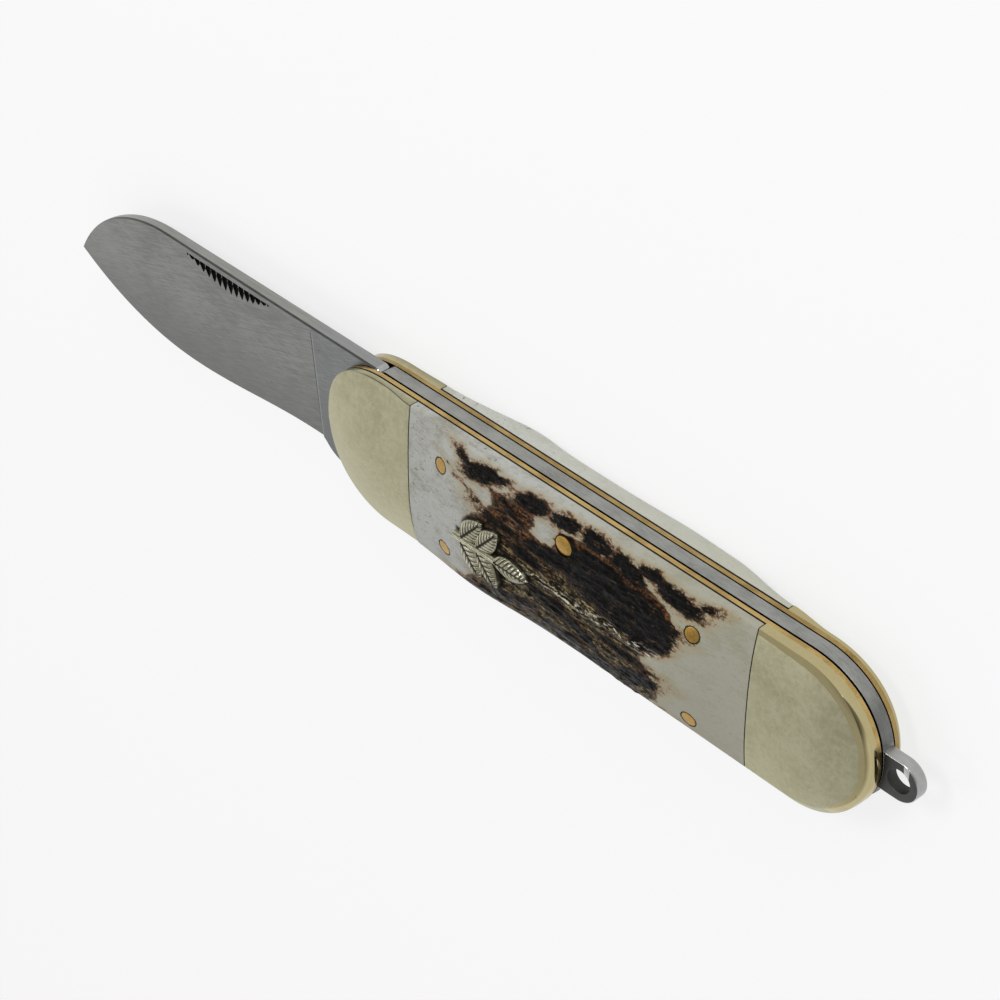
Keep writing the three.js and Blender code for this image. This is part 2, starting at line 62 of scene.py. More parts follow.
# %% The knife's own frame
MM = 0.001
HANDLE_HEIGHT = 21.8
SCALE_LENGTH = 56.9
HALF_HEIGHT = HANDLE_HEIGHT / 2
REST_HEIGHT = 4.99
OFFSET = np.array([-SCALE_LENGTH / 2, HALF_HEIGHT, REST_HEIGHT])


def in_scene(points):
    """Millimetres in the knife's frame, as metres in the scene."""
    return (np.asarray(points, float) + OFFSET) * MM


def in_knife(points):
    """Metres in the scene, as millimetres in the knife's frame."""
    return np.asarray(points, float) / MM - OFFSET


low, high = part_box("mark_liner")
print("liner in the knife's frame:", in_knife([low, high]).round(2).tolist())

# %% Sizes of the handle
FRONT_LENGTH = 16.6
REAR_LENGTH = 17.1
NOSE_X = -FRONT_LENGTH
BUTT_X = SCALE_LENGTH + REAR_LENGTH
FRONT_REACH = 11.4
REAR_REACH = 11.05
FRONT_CENTRE = NOSE_X + FRONT_REACH
REAR_CENTRE = BUTT_X - REAR_REACH
FRONT_POWERS = (2.6, 2.1)
REAR_POWERS = (2.15, 1.86)
SEAM = 0.1
HALF_STOCK = 1.0
LINER_IN = 1.14
LINER_OUT = 1.74
FRONT_CROWN = 2.03
REAR_CROWN = 2.24
SCALE_CROWN = 3.45
RIMS = {
    "mark": {"front": 1.5, "nose": 0.95, "scale": 2.2, "rear": 1.25, "butt": 1.3},
    "pile": {"front": 1.22, "nose": 1.1, "scale": 2.3, "rear": 1.05, "butt": 0.45},
}
BELLY_RIM = 0.53
REAR_BELLY_CREASE = 1.4
BEVEL_SLOPE = 0.8
BEVEL_FROM = 30
BEVEL_FULL = 50
DOME_POWER = 2.6
SIDES = {"mark": 1, "pile": -1}
print("handle from nose to butt, mm:", BUTT_X - NOSE_X)

# %% [markdown]
# The outline
#
# Both ends of the handle are superellipses: rounder than a circle's arc at the corners and flatter
# between them. The same formula gives the outline as a row of points and says how far inside it a
# point lies, which later decides how high the crowned faces stand.

# %% Outline of the handle


def bend(value, power):
    """Cosine or sine, pushed towards the corners by a superellipse's power."""
    return np.sign(value) * np.abs(value) ** (2 / power)


def end_point(centre, reach, powers, angle):
    """A point of one rounded end, with the spine's power above and the belly's below."""
    power = np.where(np.sin(angle) > 0, powers[0], powers[1])
    x = centre + reach * bend(np.cos(angle), power)
    y = HALF_HEIGHT * (bend(np.sin(angle), power) - 1)
    return np.stack([x, y], -1)


def handle_outline(steps=56):
    """The outline from the spine's front corner round the nose, along the belly and round the butt."""
    half_turn = np.linspace(-math.pi / 2, math.pi / 2, steps)
    front = end_point(FRONT_CENTRE, FRONT_REACH, FRONT_POWERS, np.linspace(math.pi / 2, 1.5 * math.pi, steps))
    return np.concatenate([front, end_point(REAR_CENTRE, REAR_REACH, REAR_POWERS, half_turn)])


def edge_distance(x, y):
    """How far inside the outline a point lies, and whether spine (1), end (0) or belly (-1) is nearest."""
    up = y + HALF_HEIGHT
    front, rear = x < FRONT_CENTRE, x > REAR_CENTRE
    along_rear = np.where(rear, (x - REAR_CENTRE) / REAR_REACH, 0)
    along = np.where(front, (FRONT_CENTRE - x) / FRONT_REACH, along_rear)
    across = np.abs(up) / HALF_HEIGHT
    power_front = np.where(up > 0, FRONT_POWERS[0], FRONT_POWERS[1])
    power_rear = np.where(up > 0, REAR_POWERS[0], REAR_POWERS[1])
    power = np.where(front, power_front, power_rear)
    radial = (np.abs(along) ** power + across ** power) ** (1 / power)
    turn = np.arctan2(across, along) / (math.pi / 2)
    ended = front | rear
    inside = np.where(ended, HALF_HEIGHT * (1 - radial), HALF_HEIGHT - np.abs(up))
    return inside, np.sign(up) * np.where(ended, turn, 1)


print("outline points:", len(handle_outline()))

# %% [markdown]
# The crown
#
# Bolsters and scales are filed to one flowing crown after they are pinned. The crown is a formula here
# too: high in the middle, falling ever faster towards a rim, and towards the butt the belly's edge has
# a steep bevel. Where two surfaces meet, the lower one wins, and that leaves a crisp crease.

# %% Height of the outer faces


def mix(a, b, t):
    return a + (b - a) * t


def smooth(t):
    t = np.clip(t, 0, 1)
    return t * t * (3 - 2 * t)


def face_height(x, y, crown, spine_rim, end_rim, low_rim):
    """Height of the outer face over the middle plane."""
    inside, nearest = edge_distance(x, y)
    low_side = np.sqrt(np.maximum(0, -nearest))
    bevelled = smooth((x - BEVEL_FROM) / (BEVEL_FULL - BEVEL_FROM))
    crease = mix(end_rim, mix(low_rim, REAR_BELLY_CREASE, bevelled), low_side)
    rim = np.where(nearest > 0, mix(end_rim, spine_rim, nearest), crease)
    fall = np.maximum(0, 1 - inside / HALF_HEIGHT) ** DOME_POWER
    dome = crown - (crown - rim) * fall
    bevel = mix(end_rim, low_rim, low_side) + BEVEL_SLOPE * inside
    return LINER_OUT + np.where(nearest < 0, np.minimum(dome, bevel), dome)


def front_face(name, x, y):
    rims = RIMS[name]
    spine_rim = mix(rims["front"], rims["nose"], smooth(x / FRONT_CENTRE))
    return face_height(x, y, FRONT_CROWN, spine_rim, rims["nose"], BELLY_RIM)


def rear_face(name, x, y):
    rims = RIMS[name]
    spine_rim = mix(rims["rear"], rims["butt"], smooth((x - SCALE_LENGTH) / (REAR_CENTRE - SCALE_LENGTH)))
    return face_height(x, y, REAR_CROWN, spine_rim, rims["butt"], BELLY_RIM)


def swell(x, at, reach, height):
    return height * np.exp(-(((x - at) / reach) ** 2))


FRONT_RISE = 13
REAR_RISE = 10
WAVINESS = 0.12
WAVE_INSET = 3

# Swellings of the stag's rim: where along the scale, how long and how high
SPINE_SWELLS = {"mark": [], "pile": [(15, 4, 0.45), (40, 6, 0.28)]}
BELLY_SWELLS = {"mark": [(11.5, 8.5, 0.83)], "pile": []}


def scale_face(name, x, y):
    """Stag keeps a little of the antler's swelling, and the pile side is worn flat where it lies."""
    rims = RIMS[name]
    phase = {"mark": 0.4, "pile": 2.1}[name]
    along = np.clip(x / SCALE_LENGTH, 0, 1)
    rise = np.minimum(smooth(x / FRONT_RISE), smooth((SCALE_LENGTH - x) / REAR_RISE))
    crown = mix(mix(FRONT_CROWN, REAR_CROWN, along), SCALE_CROWN, rise)
    spine_swell = sum(swell(x, *one) for one in SPINE_SWELLS[name])
    belly_swell = sum(swell(x, *one) for one in BELLY_SWELLS[name])
    spine_rim = mix(mix(rims["front"], rims["rear"], along), rims["scale"], rise) + rise * spine_swell
    wave = np.sin(x / 4.3 + phase) * np.cos(y / 5 - phase) + np.sin(x / 7.9 - y / 6 + phase)
    inner = smooth(edge_distance(x, y)[0] / WAVE_INSET)
    height = face_height(x, y, crown, spine_rim, spine_rim, BELLY_RIM + belly_swell)
    height = height + WAVINESS * rise * inner * wave
    return height if name == "mark" else np.minimum(height, REST_HEIGHT)


print("crown at mid scale:", float(scale_face("mark", np.array(28.0), np.array(-11.0))))

# %% [markdown]
# Shop tools
#
# Four ways of making a piece cover the whole knife. A *plate* is a circle laid on an outline, filled
# and extruded. A *pressed sheet* is a grid whose corners are pressed on a formula, then given walls and
# a floor. A *skin* is a grid wrapped through a row of sections, as on a blade. And a Boolean modifier
# drills, files and joins. Each tool leaves a closed mesh whose place is in its points.

# %% Selecting and editing


def clear_selection():
    """Nothing stays selected, so an operator acts only on what the next lines pick."""
    if bpy.context.object and bpy.context.object.mode != "OBJECT":
        bpy.ops.object.mode_set(mode="OBJECT")
    bpy.ops.object.select_all(action="DESELECT")


def pick(piece):
    clear_selection()
    bpy.context.view_layer.objects.active = piece
    piece.select_set(True)


def points_of(piece):
    """A piece's points, as millimetres in the knife's frame."""
    flat = np.empty(len(piece.data.vertices) * 3)
    piece.data.vertices.foreach_get("co", flat)
    return in_knife(flat.reshape(-1, 3))


def move_points(piece, points):
    piece.data.vertices.foreach_set("co", in_scene(points).ravel())
    piece.data.update()


def edit(piece, mode="VERT"):
    """Edit mode with nothing selected."""
    pick(piece)
    bpy.ops.object.mode_set(mode="EDIT")
    bpy.ops.mesh.select_mode(type=mode)
    bpy.ops.mesh.select_all(action="DESELECT")


def done_editing():
    bpy.ops.object.mode_set(mode="OBJECT")


def edit_only(piece, kind, test):
    """Edit mode with only the edges or polygons that pass a test selected."""
    edit(piece, {"edges": "EDGE", "polygons": "FACE"}[kind])
    done_editing()
    parts = {"edges": piece.data.edges, "polygons": piece.data.polygons}[kind]
    for part in parts:
        part.select = bool(test(part))
    bpy.ops.object.mode_set(mode="EDIT")


def merge_doubles(gap):
    bpy.ops.mesh.select_all(action="SELECT")
    bpy.ops.mesh.remove_doubles(threshold=gap * MM)
    bpy.ops.mesh.dissolve_degenerate(threshold=gap * MM)


def open_edges(piece):
    """How many edges don't have exactly two faces. A closed piece has none."""
    uses = np.zeros(len(piece.data.edges), int)
    for face in piece.data.polygons:
        for loop in face.loop_indices:
            uses[piece.data.loops[loop].edge_index] += 1
    return int((uses != 2).sum())


def close_up(piece, gap=0.0005):
    """Merges doubles, fills open ends and turns every face outwards."""
    edit(piece)
    merge_doubles(gap)
    bpy.ops.mesh.select_all(action="SELECT")
    bpy.ops.mesh.fill_holes(sides=0)
    bpy.ops.mesh.select_all(action="SELECT")
    bpy.ops.mesh.normals_make_consistent(inside=False)
    done_editing()
    return piece


print("loose edges on a CAD solid:", open_edges(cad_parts["mark_liner"]))

# %% Plates, sheets and skins


def plate(name, outline, bottom, top):
    """A circle with as many points as the outline, laid on it, filled and extruded."""
    clear_selection()
    bpy.ops.mesh.primitive_circle_add(vertices=len(outline), radius=1, fill_type="NGON")
    piece = bpy.context.object
    piece.name = name
    laid = np.column_stack([outline, np.full(len(outline), bottom)])
    move_points(piece, laid)
    edit(piece, "FACE")
    bpy.ops.mesh.select_all(action="SELECT")
    bpy.ops.mesh.extrude_region_move(TRANSFORM_OT_translate={"value": (0, 0, (top - bottom) * MM)})
    done_editing()
    return close_up(piece)


def sheet_index(piece, columns, rows):
    """Column and row of each point of a fresh grid, read from its place."""
    flat = np.empty(len(piece.data.vertices) * 3)
    piece.data.vertices.foreach_get("co", flat)
    place = flat.reshape(-1, 3) + 0.5
    return np.rint(place[:, 0] * (columns - 1)).astype(int), np.rint(place[:, 1] * (rows - 1)).astype(int)


def grid_on(name, surface):
    """A grid primitive whose corners go to the points of surface[row, column]."""
    rows, columns = surface.shape[:2]
    clear_selection()
    bpy.ops.mesh.primitive_grid_add(x_subdivisions=columns - 1, y_subdivisions=rows - 1, size=1)
    piece = bpy.context.object
    piece.name = name
    column, row = sheet_index(piece, columns, rows)
    move_points(piece, surface[row, column])
    return piece


def pressed_sheet(name, surface, floor):
    """A grid pressed on a surface, with its border drawn down to a flat floor."""
    piece = grid_on(name, surface)
    edit(piece, "EDGE")
    merge_doubles(0.0005)
    bpy.ops.mesh.select_all(action="DESELECT")
    bpy.ops.mesh.select_non_manifold(extend=False, use_wire=False, use_boundary=True, use_multi_face=False,
                                     use_non_contiguous=False, use_verts=False)
    bpy.ops.mesh.extrude_edges_move()
    level = float(in_scene([0, 0, floor])[2])
    bpy.ops.transform.resize(value=(1, 1, 0), center_override=(0, 0, level))
    bpy.ops.mesh.edge_face_add()
    done_editing()
    return close_up(piece)


def skin(name, rings):
    """A grid wrapped through sections of equally many points, closed at both ends."""
    rings = np.asarray(rings, float)
    wrapped = np.concatenate([rings, rings[:, :1]], 1)
    return close_up(grid_on(name, wrapped))


print("tools that make a piece:", [tool.__name__ for tool in (plate, pressed_sheet, skin)])

# %% Cutting, joining and softening


def apply_boolean(piece, tool, operation):
    """A Boolean modifier, applied. The tool is used up."""
    pick(piece)
    modifier = piece.modifiers.new("cut", "BOOLEAN")
    modifier.operation = operation
    modifier.solver = "MANIFOLD"
    modifier.object = tool
    bpy.ops.object.modifier_apply(modifier=modifier.name)
    bpy.data.objects.remove(tool)
    return piece


def join_tools(tools):
    """Several separate cutters as one object, so that one Boolean does them all."""
    pick(tools[0])
    for tool in tools[1:]:
        tool.select_set(True)
    bpy.ops.object.join()
    return bpy.context.object


def rod(name, radius, x, y, bottom, top, sides=64):
    clear_selection()
    place = in_scene([x, y, (bottom + top) / 2])
    depth = (top - bottom) * MM
    bpy.ops.mesh.primitive_cylinder_add(vertices=sides, radius=radius * MM, depth=depth, location=place)
    piece = bpy.context.object
    piece.name = name
    bpy.ops.object.transform_apply(location=True, rotation=True, scale=True)
    return piece


def soften(piece, width, segments=2, angle=30):
    """Breaks every edge sharper than the angle, as a quick pass on the buffing wheel does."""
    pick(piece)
    modifier = piece.modifiers.new("soft edges", "BEVEL")
    modifier.width = width * MM
    modifier.segments = segments
    modifier.limit_method = "ANGLE"
    modifier.angle_limit = math.radians(angle)
    modifier.use_clamp_overlap = True
    modifier.miter_outer = "MITER_ARC"
    bpy.ops.object.modifier_apply(modifier=modifier.name)
    return piece


def smooth_shading(piece, angle=30):
    pick(piece)
    bpy.ops.object.shade_smooth_by_angle(angle=math.radians(angle))


def face_mask(piece, name, test):
    """A value for each face, from its middle in the knife's frame, for its material to read."""
    mesh = piece.data
    middles = np.empty(len(mesh.polygons) * 3)
    mesh.polygons.foreach_get("center", middles)
    values = test(in_knife(middles.reshape(-1, 3)))
    layer = mesh.attributes.new(name, "FLOAT", "FACE")
    layer.data.foreach_set("value", np.asarray(values, np.float32))


def point_mask(piece, name, values):
    layer = piece.data.attributes.new(name, "FLOAT", "POINT")
    layer.data.foreach_set("value", np.asarray(values, np.float32))


def settle(piece, name, material, nodes, body="handle", angle=30):
    """Gives a finished piece its name, finish, smooth shading and body, and hides the solids it stands for.
    """
    piece.name = name
    piece.data.name = name
    piece.data.materials.clear()
    piece.data.materials.append(material)
    smooth_shading(piece, angle)
    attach(piece, body)
    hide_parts(*nodes)
    box = [f(0).round(2).tolist() for f in (points_of(piece).min, points_of(piece).max)]
    print(name, "faces:", len(piece.data.polygons), "open edges:", open_edges(piece), "box mm:", *box)
    return piece

# %% [markdown]
# Finishes
#
# A finish is a Principled surface whose colour and roughness are broken up at the scale of the real
# marks: belt lines on the steel, fine pores in the nickel silver, patina in the badge. Effects shared
# by several finishes are node groups, each with its own values where it is placed.

# %% Node helpers


def new_tree(name):
    material = bpy.data.materials.new(name)
    material.use_nodes = True
    return material, material.node_tree, material.node_tree.nodes["Principled BSDF"]


def node(tree, kind, settings=None, **inputs):
    """Adds a node, sets its settings, and fills or links the inputs named."""
    made = tree.nodes.new(kind)
    for key, value in (settings or {}).items():
        setattr(made, key, value)
    for key, value in inputs.items():
        numbered = key[0] == "i" and key[1:].isdigit()
        socket = made.inputs[int(key[1:]) if numbered else key.replace("_", " ")]
        if isinstance(value, bpy.types.NodeSocket):
            tree.links.new(value, socket)
        else:
            socket.default_value = value
    return made


def math_node(tree, operation, a, b=0.0):
    return node(tree, "ShaderNodeMath", {"operation": operation}, i0=a, i1=b).outputs[0]


def times(tree, a, b):
    return math_node(tree, "MULTIPLY", a, b)


def plus(tree, a, b):
    return math_node(tree, "ADD", a, b)


def minus(tree, a, b):
    return math_node(tree, "SUBTRACT", a, b)


def largest(tree, a, b):
    return math_node(tree, "MAXIMUM", a, b)


def ramp_value(tree, value, start, end, low=0.0, high=1.0):
    """Maps start..end to low..high with soft ends."""
    made = node(tree, "ShaderNodeMapRange", {"interpolation_type": "SMOOTHSTEP"}, Value=value,
                From_Min=start, From_Max=end, To_Min=low, To_Max=high)
    return made.outputs[0]


def blend_colours(tree, share, a, b):
    return node(tree, "ShaderNodeMix", {"data_type": "RGBA"}, i0=share, i6=a, i7=b).outputs[2]


def tint(tree, colour, mask, strength, added):
    """Colours the places of a mask, up to a strength."""
    return blend_colours(tree, times(tree, mask, strength), colour, added)


def blend_values(tree, share, a, b):
    return node(tree, "ShaderNodeMix", {"data_type": "FLOAT"}, i0=share, i2=a, i3=b).outputs[0]


def srgb(red, green, blue):
    """A colour as seen on screen, turned to the linear values that a shader uses."""
    parts = []
    for part in (red, green, blue):
        part = part / 255
        parts.append(part / 12.92 if part <= 0.04045 else ((part + 0.055) / 1.055) ** 2.4)
    return (*parts, 1.0)


def object_coordinates(tree):
    return node(tree, "ShaderNodeTexCoord").outputs["Object"]


def stretch_place(tree, place, stretch):
    """Coordinates stretched along x, y and z."""
    return node(tree, "ShaderNodeVectorMath", {"operation": "MULTIPLY"}, i0=place, i1=stretch).outputs[0]


def noise_value(tree, place, scale, detail, roughness):
    made = node(tree, "ShaderNodeTexNoise", Vector=place, Scale=scale, Detail=detail, Roughness=roughness)
    return made.outputs[0]


def link_surface(tree, surface, colour, rough, normal):
    for label, value in (("Base Color", colour), ("Roughness", rough), ("Normal", normal)):
        tree.links.new(value, surface.inputs[label])


print("middle grey as a linear value:", round(srgb(128, 128, 128)[0], 3))

# %% Grain group: long fine lines, as a belt or wheel leaves


def make_group(name, inputs, outputs):
    group = bpy.data.node_groups.new(name, "ShaderNodeTree")
    for label, kind, value in inputs:
        socket = group.interface.new_socket(name=label, in_out="INPUT", socket_type=kind)
        if value is not None:
            socket.default_value = value
    for label, kind in outputs:
        group.interface.new_socket(name=label, in_out="OUTPUT", socket_type=kind)
    return group, group.nodes.new("NodeGroupInput"), group.nodes.new("NodeGroupOutput")


def make_belt_lines():
    """Lines along one direction: Stretch holds how many fit in a metre along x, y and z."""
    group, entry, leave = make_group(
        "belt_lines",
        [("Place", "NodeSocketVector", None), ("Stretch", "NodeSocketVector", (400, 9000, 9000))],
        [("Lines", "NodeSocketFloat"), ("Clouds", "NodeSocketFloat")],
    )
    fine = noise_value(group, stretch_place(group, entry.outputs[0], entry.outputs[1]), 1.0, 4.0, 0.7)
    group.links.new(fine, leave.inputs[0])
    group.links.new(noise_value(group, entry.outputs[0], 300.0, 4.0, 0.6), leave.inputs[1])
    return group


belt_lines = make_belt_lines()


def make_pores():
    """Tiny pits and specks: Size holds how many fit in a metre, Amount how many show."""
    group, entry, leave = make_group(
        "pores",
        [("Place", "NodeSocketVector", None), ("Size", "NodeSocketFloat", 2500.0),
         ("Amount", "NodeSocketFloat", 0.3)],
        [("Pits", "NodeSocketFloat")],
    )
    cells = node(group, "ShaderNodeTexVoronoi", {"feature": "F1"}, Vector=entry.outputs[0],
                 Scale=entry.outputs[1])
    drift = noise_value(group, entry.outputs[0], 420.0, 2.0, 0.5)
    near = ramp_value(group, cells.outputs["Distance"], 0.05, 0.3, 1.0, 0.0)
    limit = minus(group, 0.72, times(group, entry.outputs[2], 0.4))
    shown = math_node(group, "GREATER_THAN", drift, limit)
    group.links.new(times(group, near, shown), leave.inputs[0])
    return group


pores = make_pores()


def place_group(tree, group, **inputs):
    made = tree.nodes.new("ShaderNodeGroup")
    made.node_tree = group
    for key, value in inputs.items():
        if isinstance(value, bpy.types.NodeSocket):
            tree.links.new(value, made.inputs[key])
        else:
            made.inputs[key].default_value = value
    return made


def bump(tree, height, distance):
    return node(tree, "ShaderNodeBump", Height=height, Distance=distance * MM, Strength=1.0).outputs[0]


def attribute(tree, name):
    return node(tree, "ShaderNodeAttribute", {"attribute_name": name}).outputs["Fac"]


print("shared groups:", [group.name for group in bpy.data.node_groups])

# %% [markdown]
# Metals
#
# All metals on this knife share one build: a colour that wanders a little, lines left by the belt, a
# roughness that follows them, and a polish mask for the places that were buffed. On the bail that mask
# also paints a highlight into the colour, and on the bolsters' walls and rolls a golden reflection.
# Some metals add a second mask with its colour: the crease line on the bolsters, patina and painted
# shadow on the badge, and painted shade in the gaps on spring, liners and pins. A dark hairline at the
# liner is partly old epoxy and partly painted shade. What changes is the colour, the direction of the
# lines and how dull the face is.

# %% Metal finishes


def liner_seam(tree, place, side, width):
    """A dark hairline where a piece meets the outer face of its liner: partly old epoxy in the joint, partly
    painted shade of the gap.
    """
    height = node(tree, "ShaderNodeSeparateXYZ", i0=place).outputs[2]
    level = (REST_HEIGHT + side * LINER_OUT) * MM
    away = math_node(tree, "ABSOLUTE", minus(tree, height, level))
    return ramp_value(tree, away, width * 0.7 * MM, width * MM, 1.0, 0.0)


# Near black, for old epoxy and for painted shade in the gaps between the layers.
SOOT_AND_SHADE = srgb(14, 13, 12)
SEAM_LINE = 0.3


def metal(name, dark, light, stretch, roughness, line_depth, polish_and_sheen=None, pit_amount=0.0, stain_and_shade=None,
          seam_side=0):
    """A worked metal. Polish is a mask, its roughness and maybe a colour, painted light on the buffed places;
    stain a mask and its colour, a real stain on some metals and painted shade on others.
    """
    material, tree, surface = new_tree(name)
    place = object_coordinates(tree)
    lines = place_group(tree, belt_lines, Place=place, Stretch=stretch)
    tone = plus(tree, times(tree, lines.outputs[0], 0.55), times(tree, lines.outputs[1], 0.45))
    colour = blend_colours(tree, ramp_value(tree, tone, 0.34, 0.66), dark, light)
    rough = plus(tree, ramp_value(tree, lines.outputs[0], 0.3, 0.7, roughness - 0.04, roughness + 0.05),
                 ramp_value(tree, lines.outputs[1], 0.3, 0.7, -0.03, 0.03))
    height = lines.outputs[0]
    if pit_amount:
        pits = place_group(tree, pores, Place=place, Size=2300.0, Amount=pit_amount).outputs[0]
        pit_colour = tuple(part * 0.45 for part in dark[:3]) + (1,)
        colour = tint(tree, colour, pits, 0.4, pit_colour)
        height = minus(tree, height, times(tree, pits, 0.8))
    if polish_and_sheen:
        buffed_sheen = attribute(tree, polish_and_sheen[0])
        rough = blend_values(tree, buffed_sheen, rough, polish_and_sheen[1])
        # The polish colour is painted light: a highlight on the bail, a golden reflection on the bolsters.
        if len(polish_and_sheen) > 2:
            colour = tint(tree, colour, buffed_sheen, 0.8, polish_and_sheen[2])
        height = times(tree, height, minus(tree, 1.0, buffed_sheen))
    if stain_and_shade:
        covered = attribute(tree, stain_and_shade[0])
        colour = blend_colours(tree, covered, colour, stain_and_shade[1])
        rough = blend_values(tree, covered, rough, 0.6)
    if seam_side:
        line = liner_seam(tree, place, seam_side, SEAM_LINE)
        colour = blend_colours(tree, line, colour, SOOT_AND_SHADE)
        rough = blend_values(tree, line, rough, 0.8)
    link_surface(tree, surface, colour, rough, bump(tree, height, line_depth))
    surface.inputs["Metallic"].default_value = 1.0
    return material


SILVER_TONES = (srgb(170, 165, 134), srgb(190, 187, 158))
SILVER_GRAIN = (1500, 1500, 1500)
CREASE_BROWN = srgb(60, 48, 30)
# Spring and liners paint their shade masks near black: painted shade in the gaps between the layers.
spring_steel = metal("spring_steel", srgb(130, 131, 127), srgb(161, 162, 158), (700, 900, 7000), 0.33, 0.003,
                     ("polish_and_sheen", 0.22, srgb(226, 227, 226)), stain_and_shade=("painted_shade", SOOT_AND_SHADE))
bolster_silver = metal("bolster_silver", *SILVER_TONES, SILVER_GRAIN, 0.42, 0.004,
                       ("polish_and_sheen", 0.1, srgb(180, 166, 120)), 0.4, stain_and_shade=("crease", CREASE_BROWN))
seamed_silver = metal("bolster_silver_seamed", *SILVER_TONES, SILVER_GRAIN, 0.42, 0.004, ("polish_and_sheen", 0.2), 0.4,
                      stain_and_shade=("crease", CREASE_BROWN), seam_side=1)
liner_brass = metal("liner_brass", srgb(150, 122, 70), srgb(204, 176, 116), (300, 12000, 12000), 0.33, 0.003,
                    stain_and_shade=("painted_shade", SOOT_AND_SHADE))
# The pins' second mask is painted shade in the gap round their heads, dark brown.
pin_brass = metal("pin_brass", srgb(140, 106, 48), srgb(200, 162, 86), (5000, 5000, 5000), 0.36, 0.006,
                  pit_amount=0.5, stain_and_shade=("painted_shade", srgb(52, 40, 22)))
# The badge's mask is patina in its veins and painted shadow at the foot of its walls.
badge_silver = metal("badge_silver", srgb(150, 146, 122), srgb(196, 192, 168), (2500, 2500, 2500), 0.22,
                     0.003, stain_and_shade=("patina_and_shadow", srgb(24, 22, 18)))
print("finishes:", [m.name for m in bpy.data.materials])

# %% [markdown]
# Blade steel
#
# The blade has a finish of its own. Its face was ground on a belt held aslant, so fine scratches cross
# it at two small angles to its length, a few of them deeper. Painted shade darkens it a little towards
# the edge, a painted shadow lies in the corner of the plunge with a painted highlight just behind it,
# and the grooves of the struck nail pull are painted black for the shade in them. The flat back is
# painted lighter, the chamfers beside it darker, and the tang's rounded shoulder gets a painted highlight.

# %% Blade finish
SCRATCH_ANGLES = (18.0, -16.0)


def turned(tree, place, angle, stretch):
    """Coordinates turned in the plane of the blade and stretched along the turned axes."""
    made = node(tree, "ShaderNodeMapping", {"vector_type": "TEXTURE"}, Vector=place)
    made.inputs["Rotation"].default_value = (0, 0, math.radians(angle))
    return stretch_place(tree, made.outputs[0], stretch)


def plunge_distance(tree, place, top_x, bottom_x, top_y, bottom_y):
    """How far behind the plunge line a point lies, in metres."""
    top = in_scene([top_x, top_y, 0])
    lean = (bottom_x - top_x) / (bottom_y - top_y)
    across = node(tree, "ShaderNodeVectorMath", {"operation": "DOT_PRODUCT"}, i0=place, i1=(1, -lean, 0))
    return minus(tree, across.outputs[1], float(top[0] - lean * top[1]))


def band(tree, value, rise, fall):
    """1 between a rise and a fall, each a start and an end in millimetres."""
    up = ramp_value(tree, value, rise[0] * MM, rise[1] * MM)
    return times(tree, up, ramp_value(tree, value, fall[0] * MM, fall[1] * MM, 1.0, 0.0))


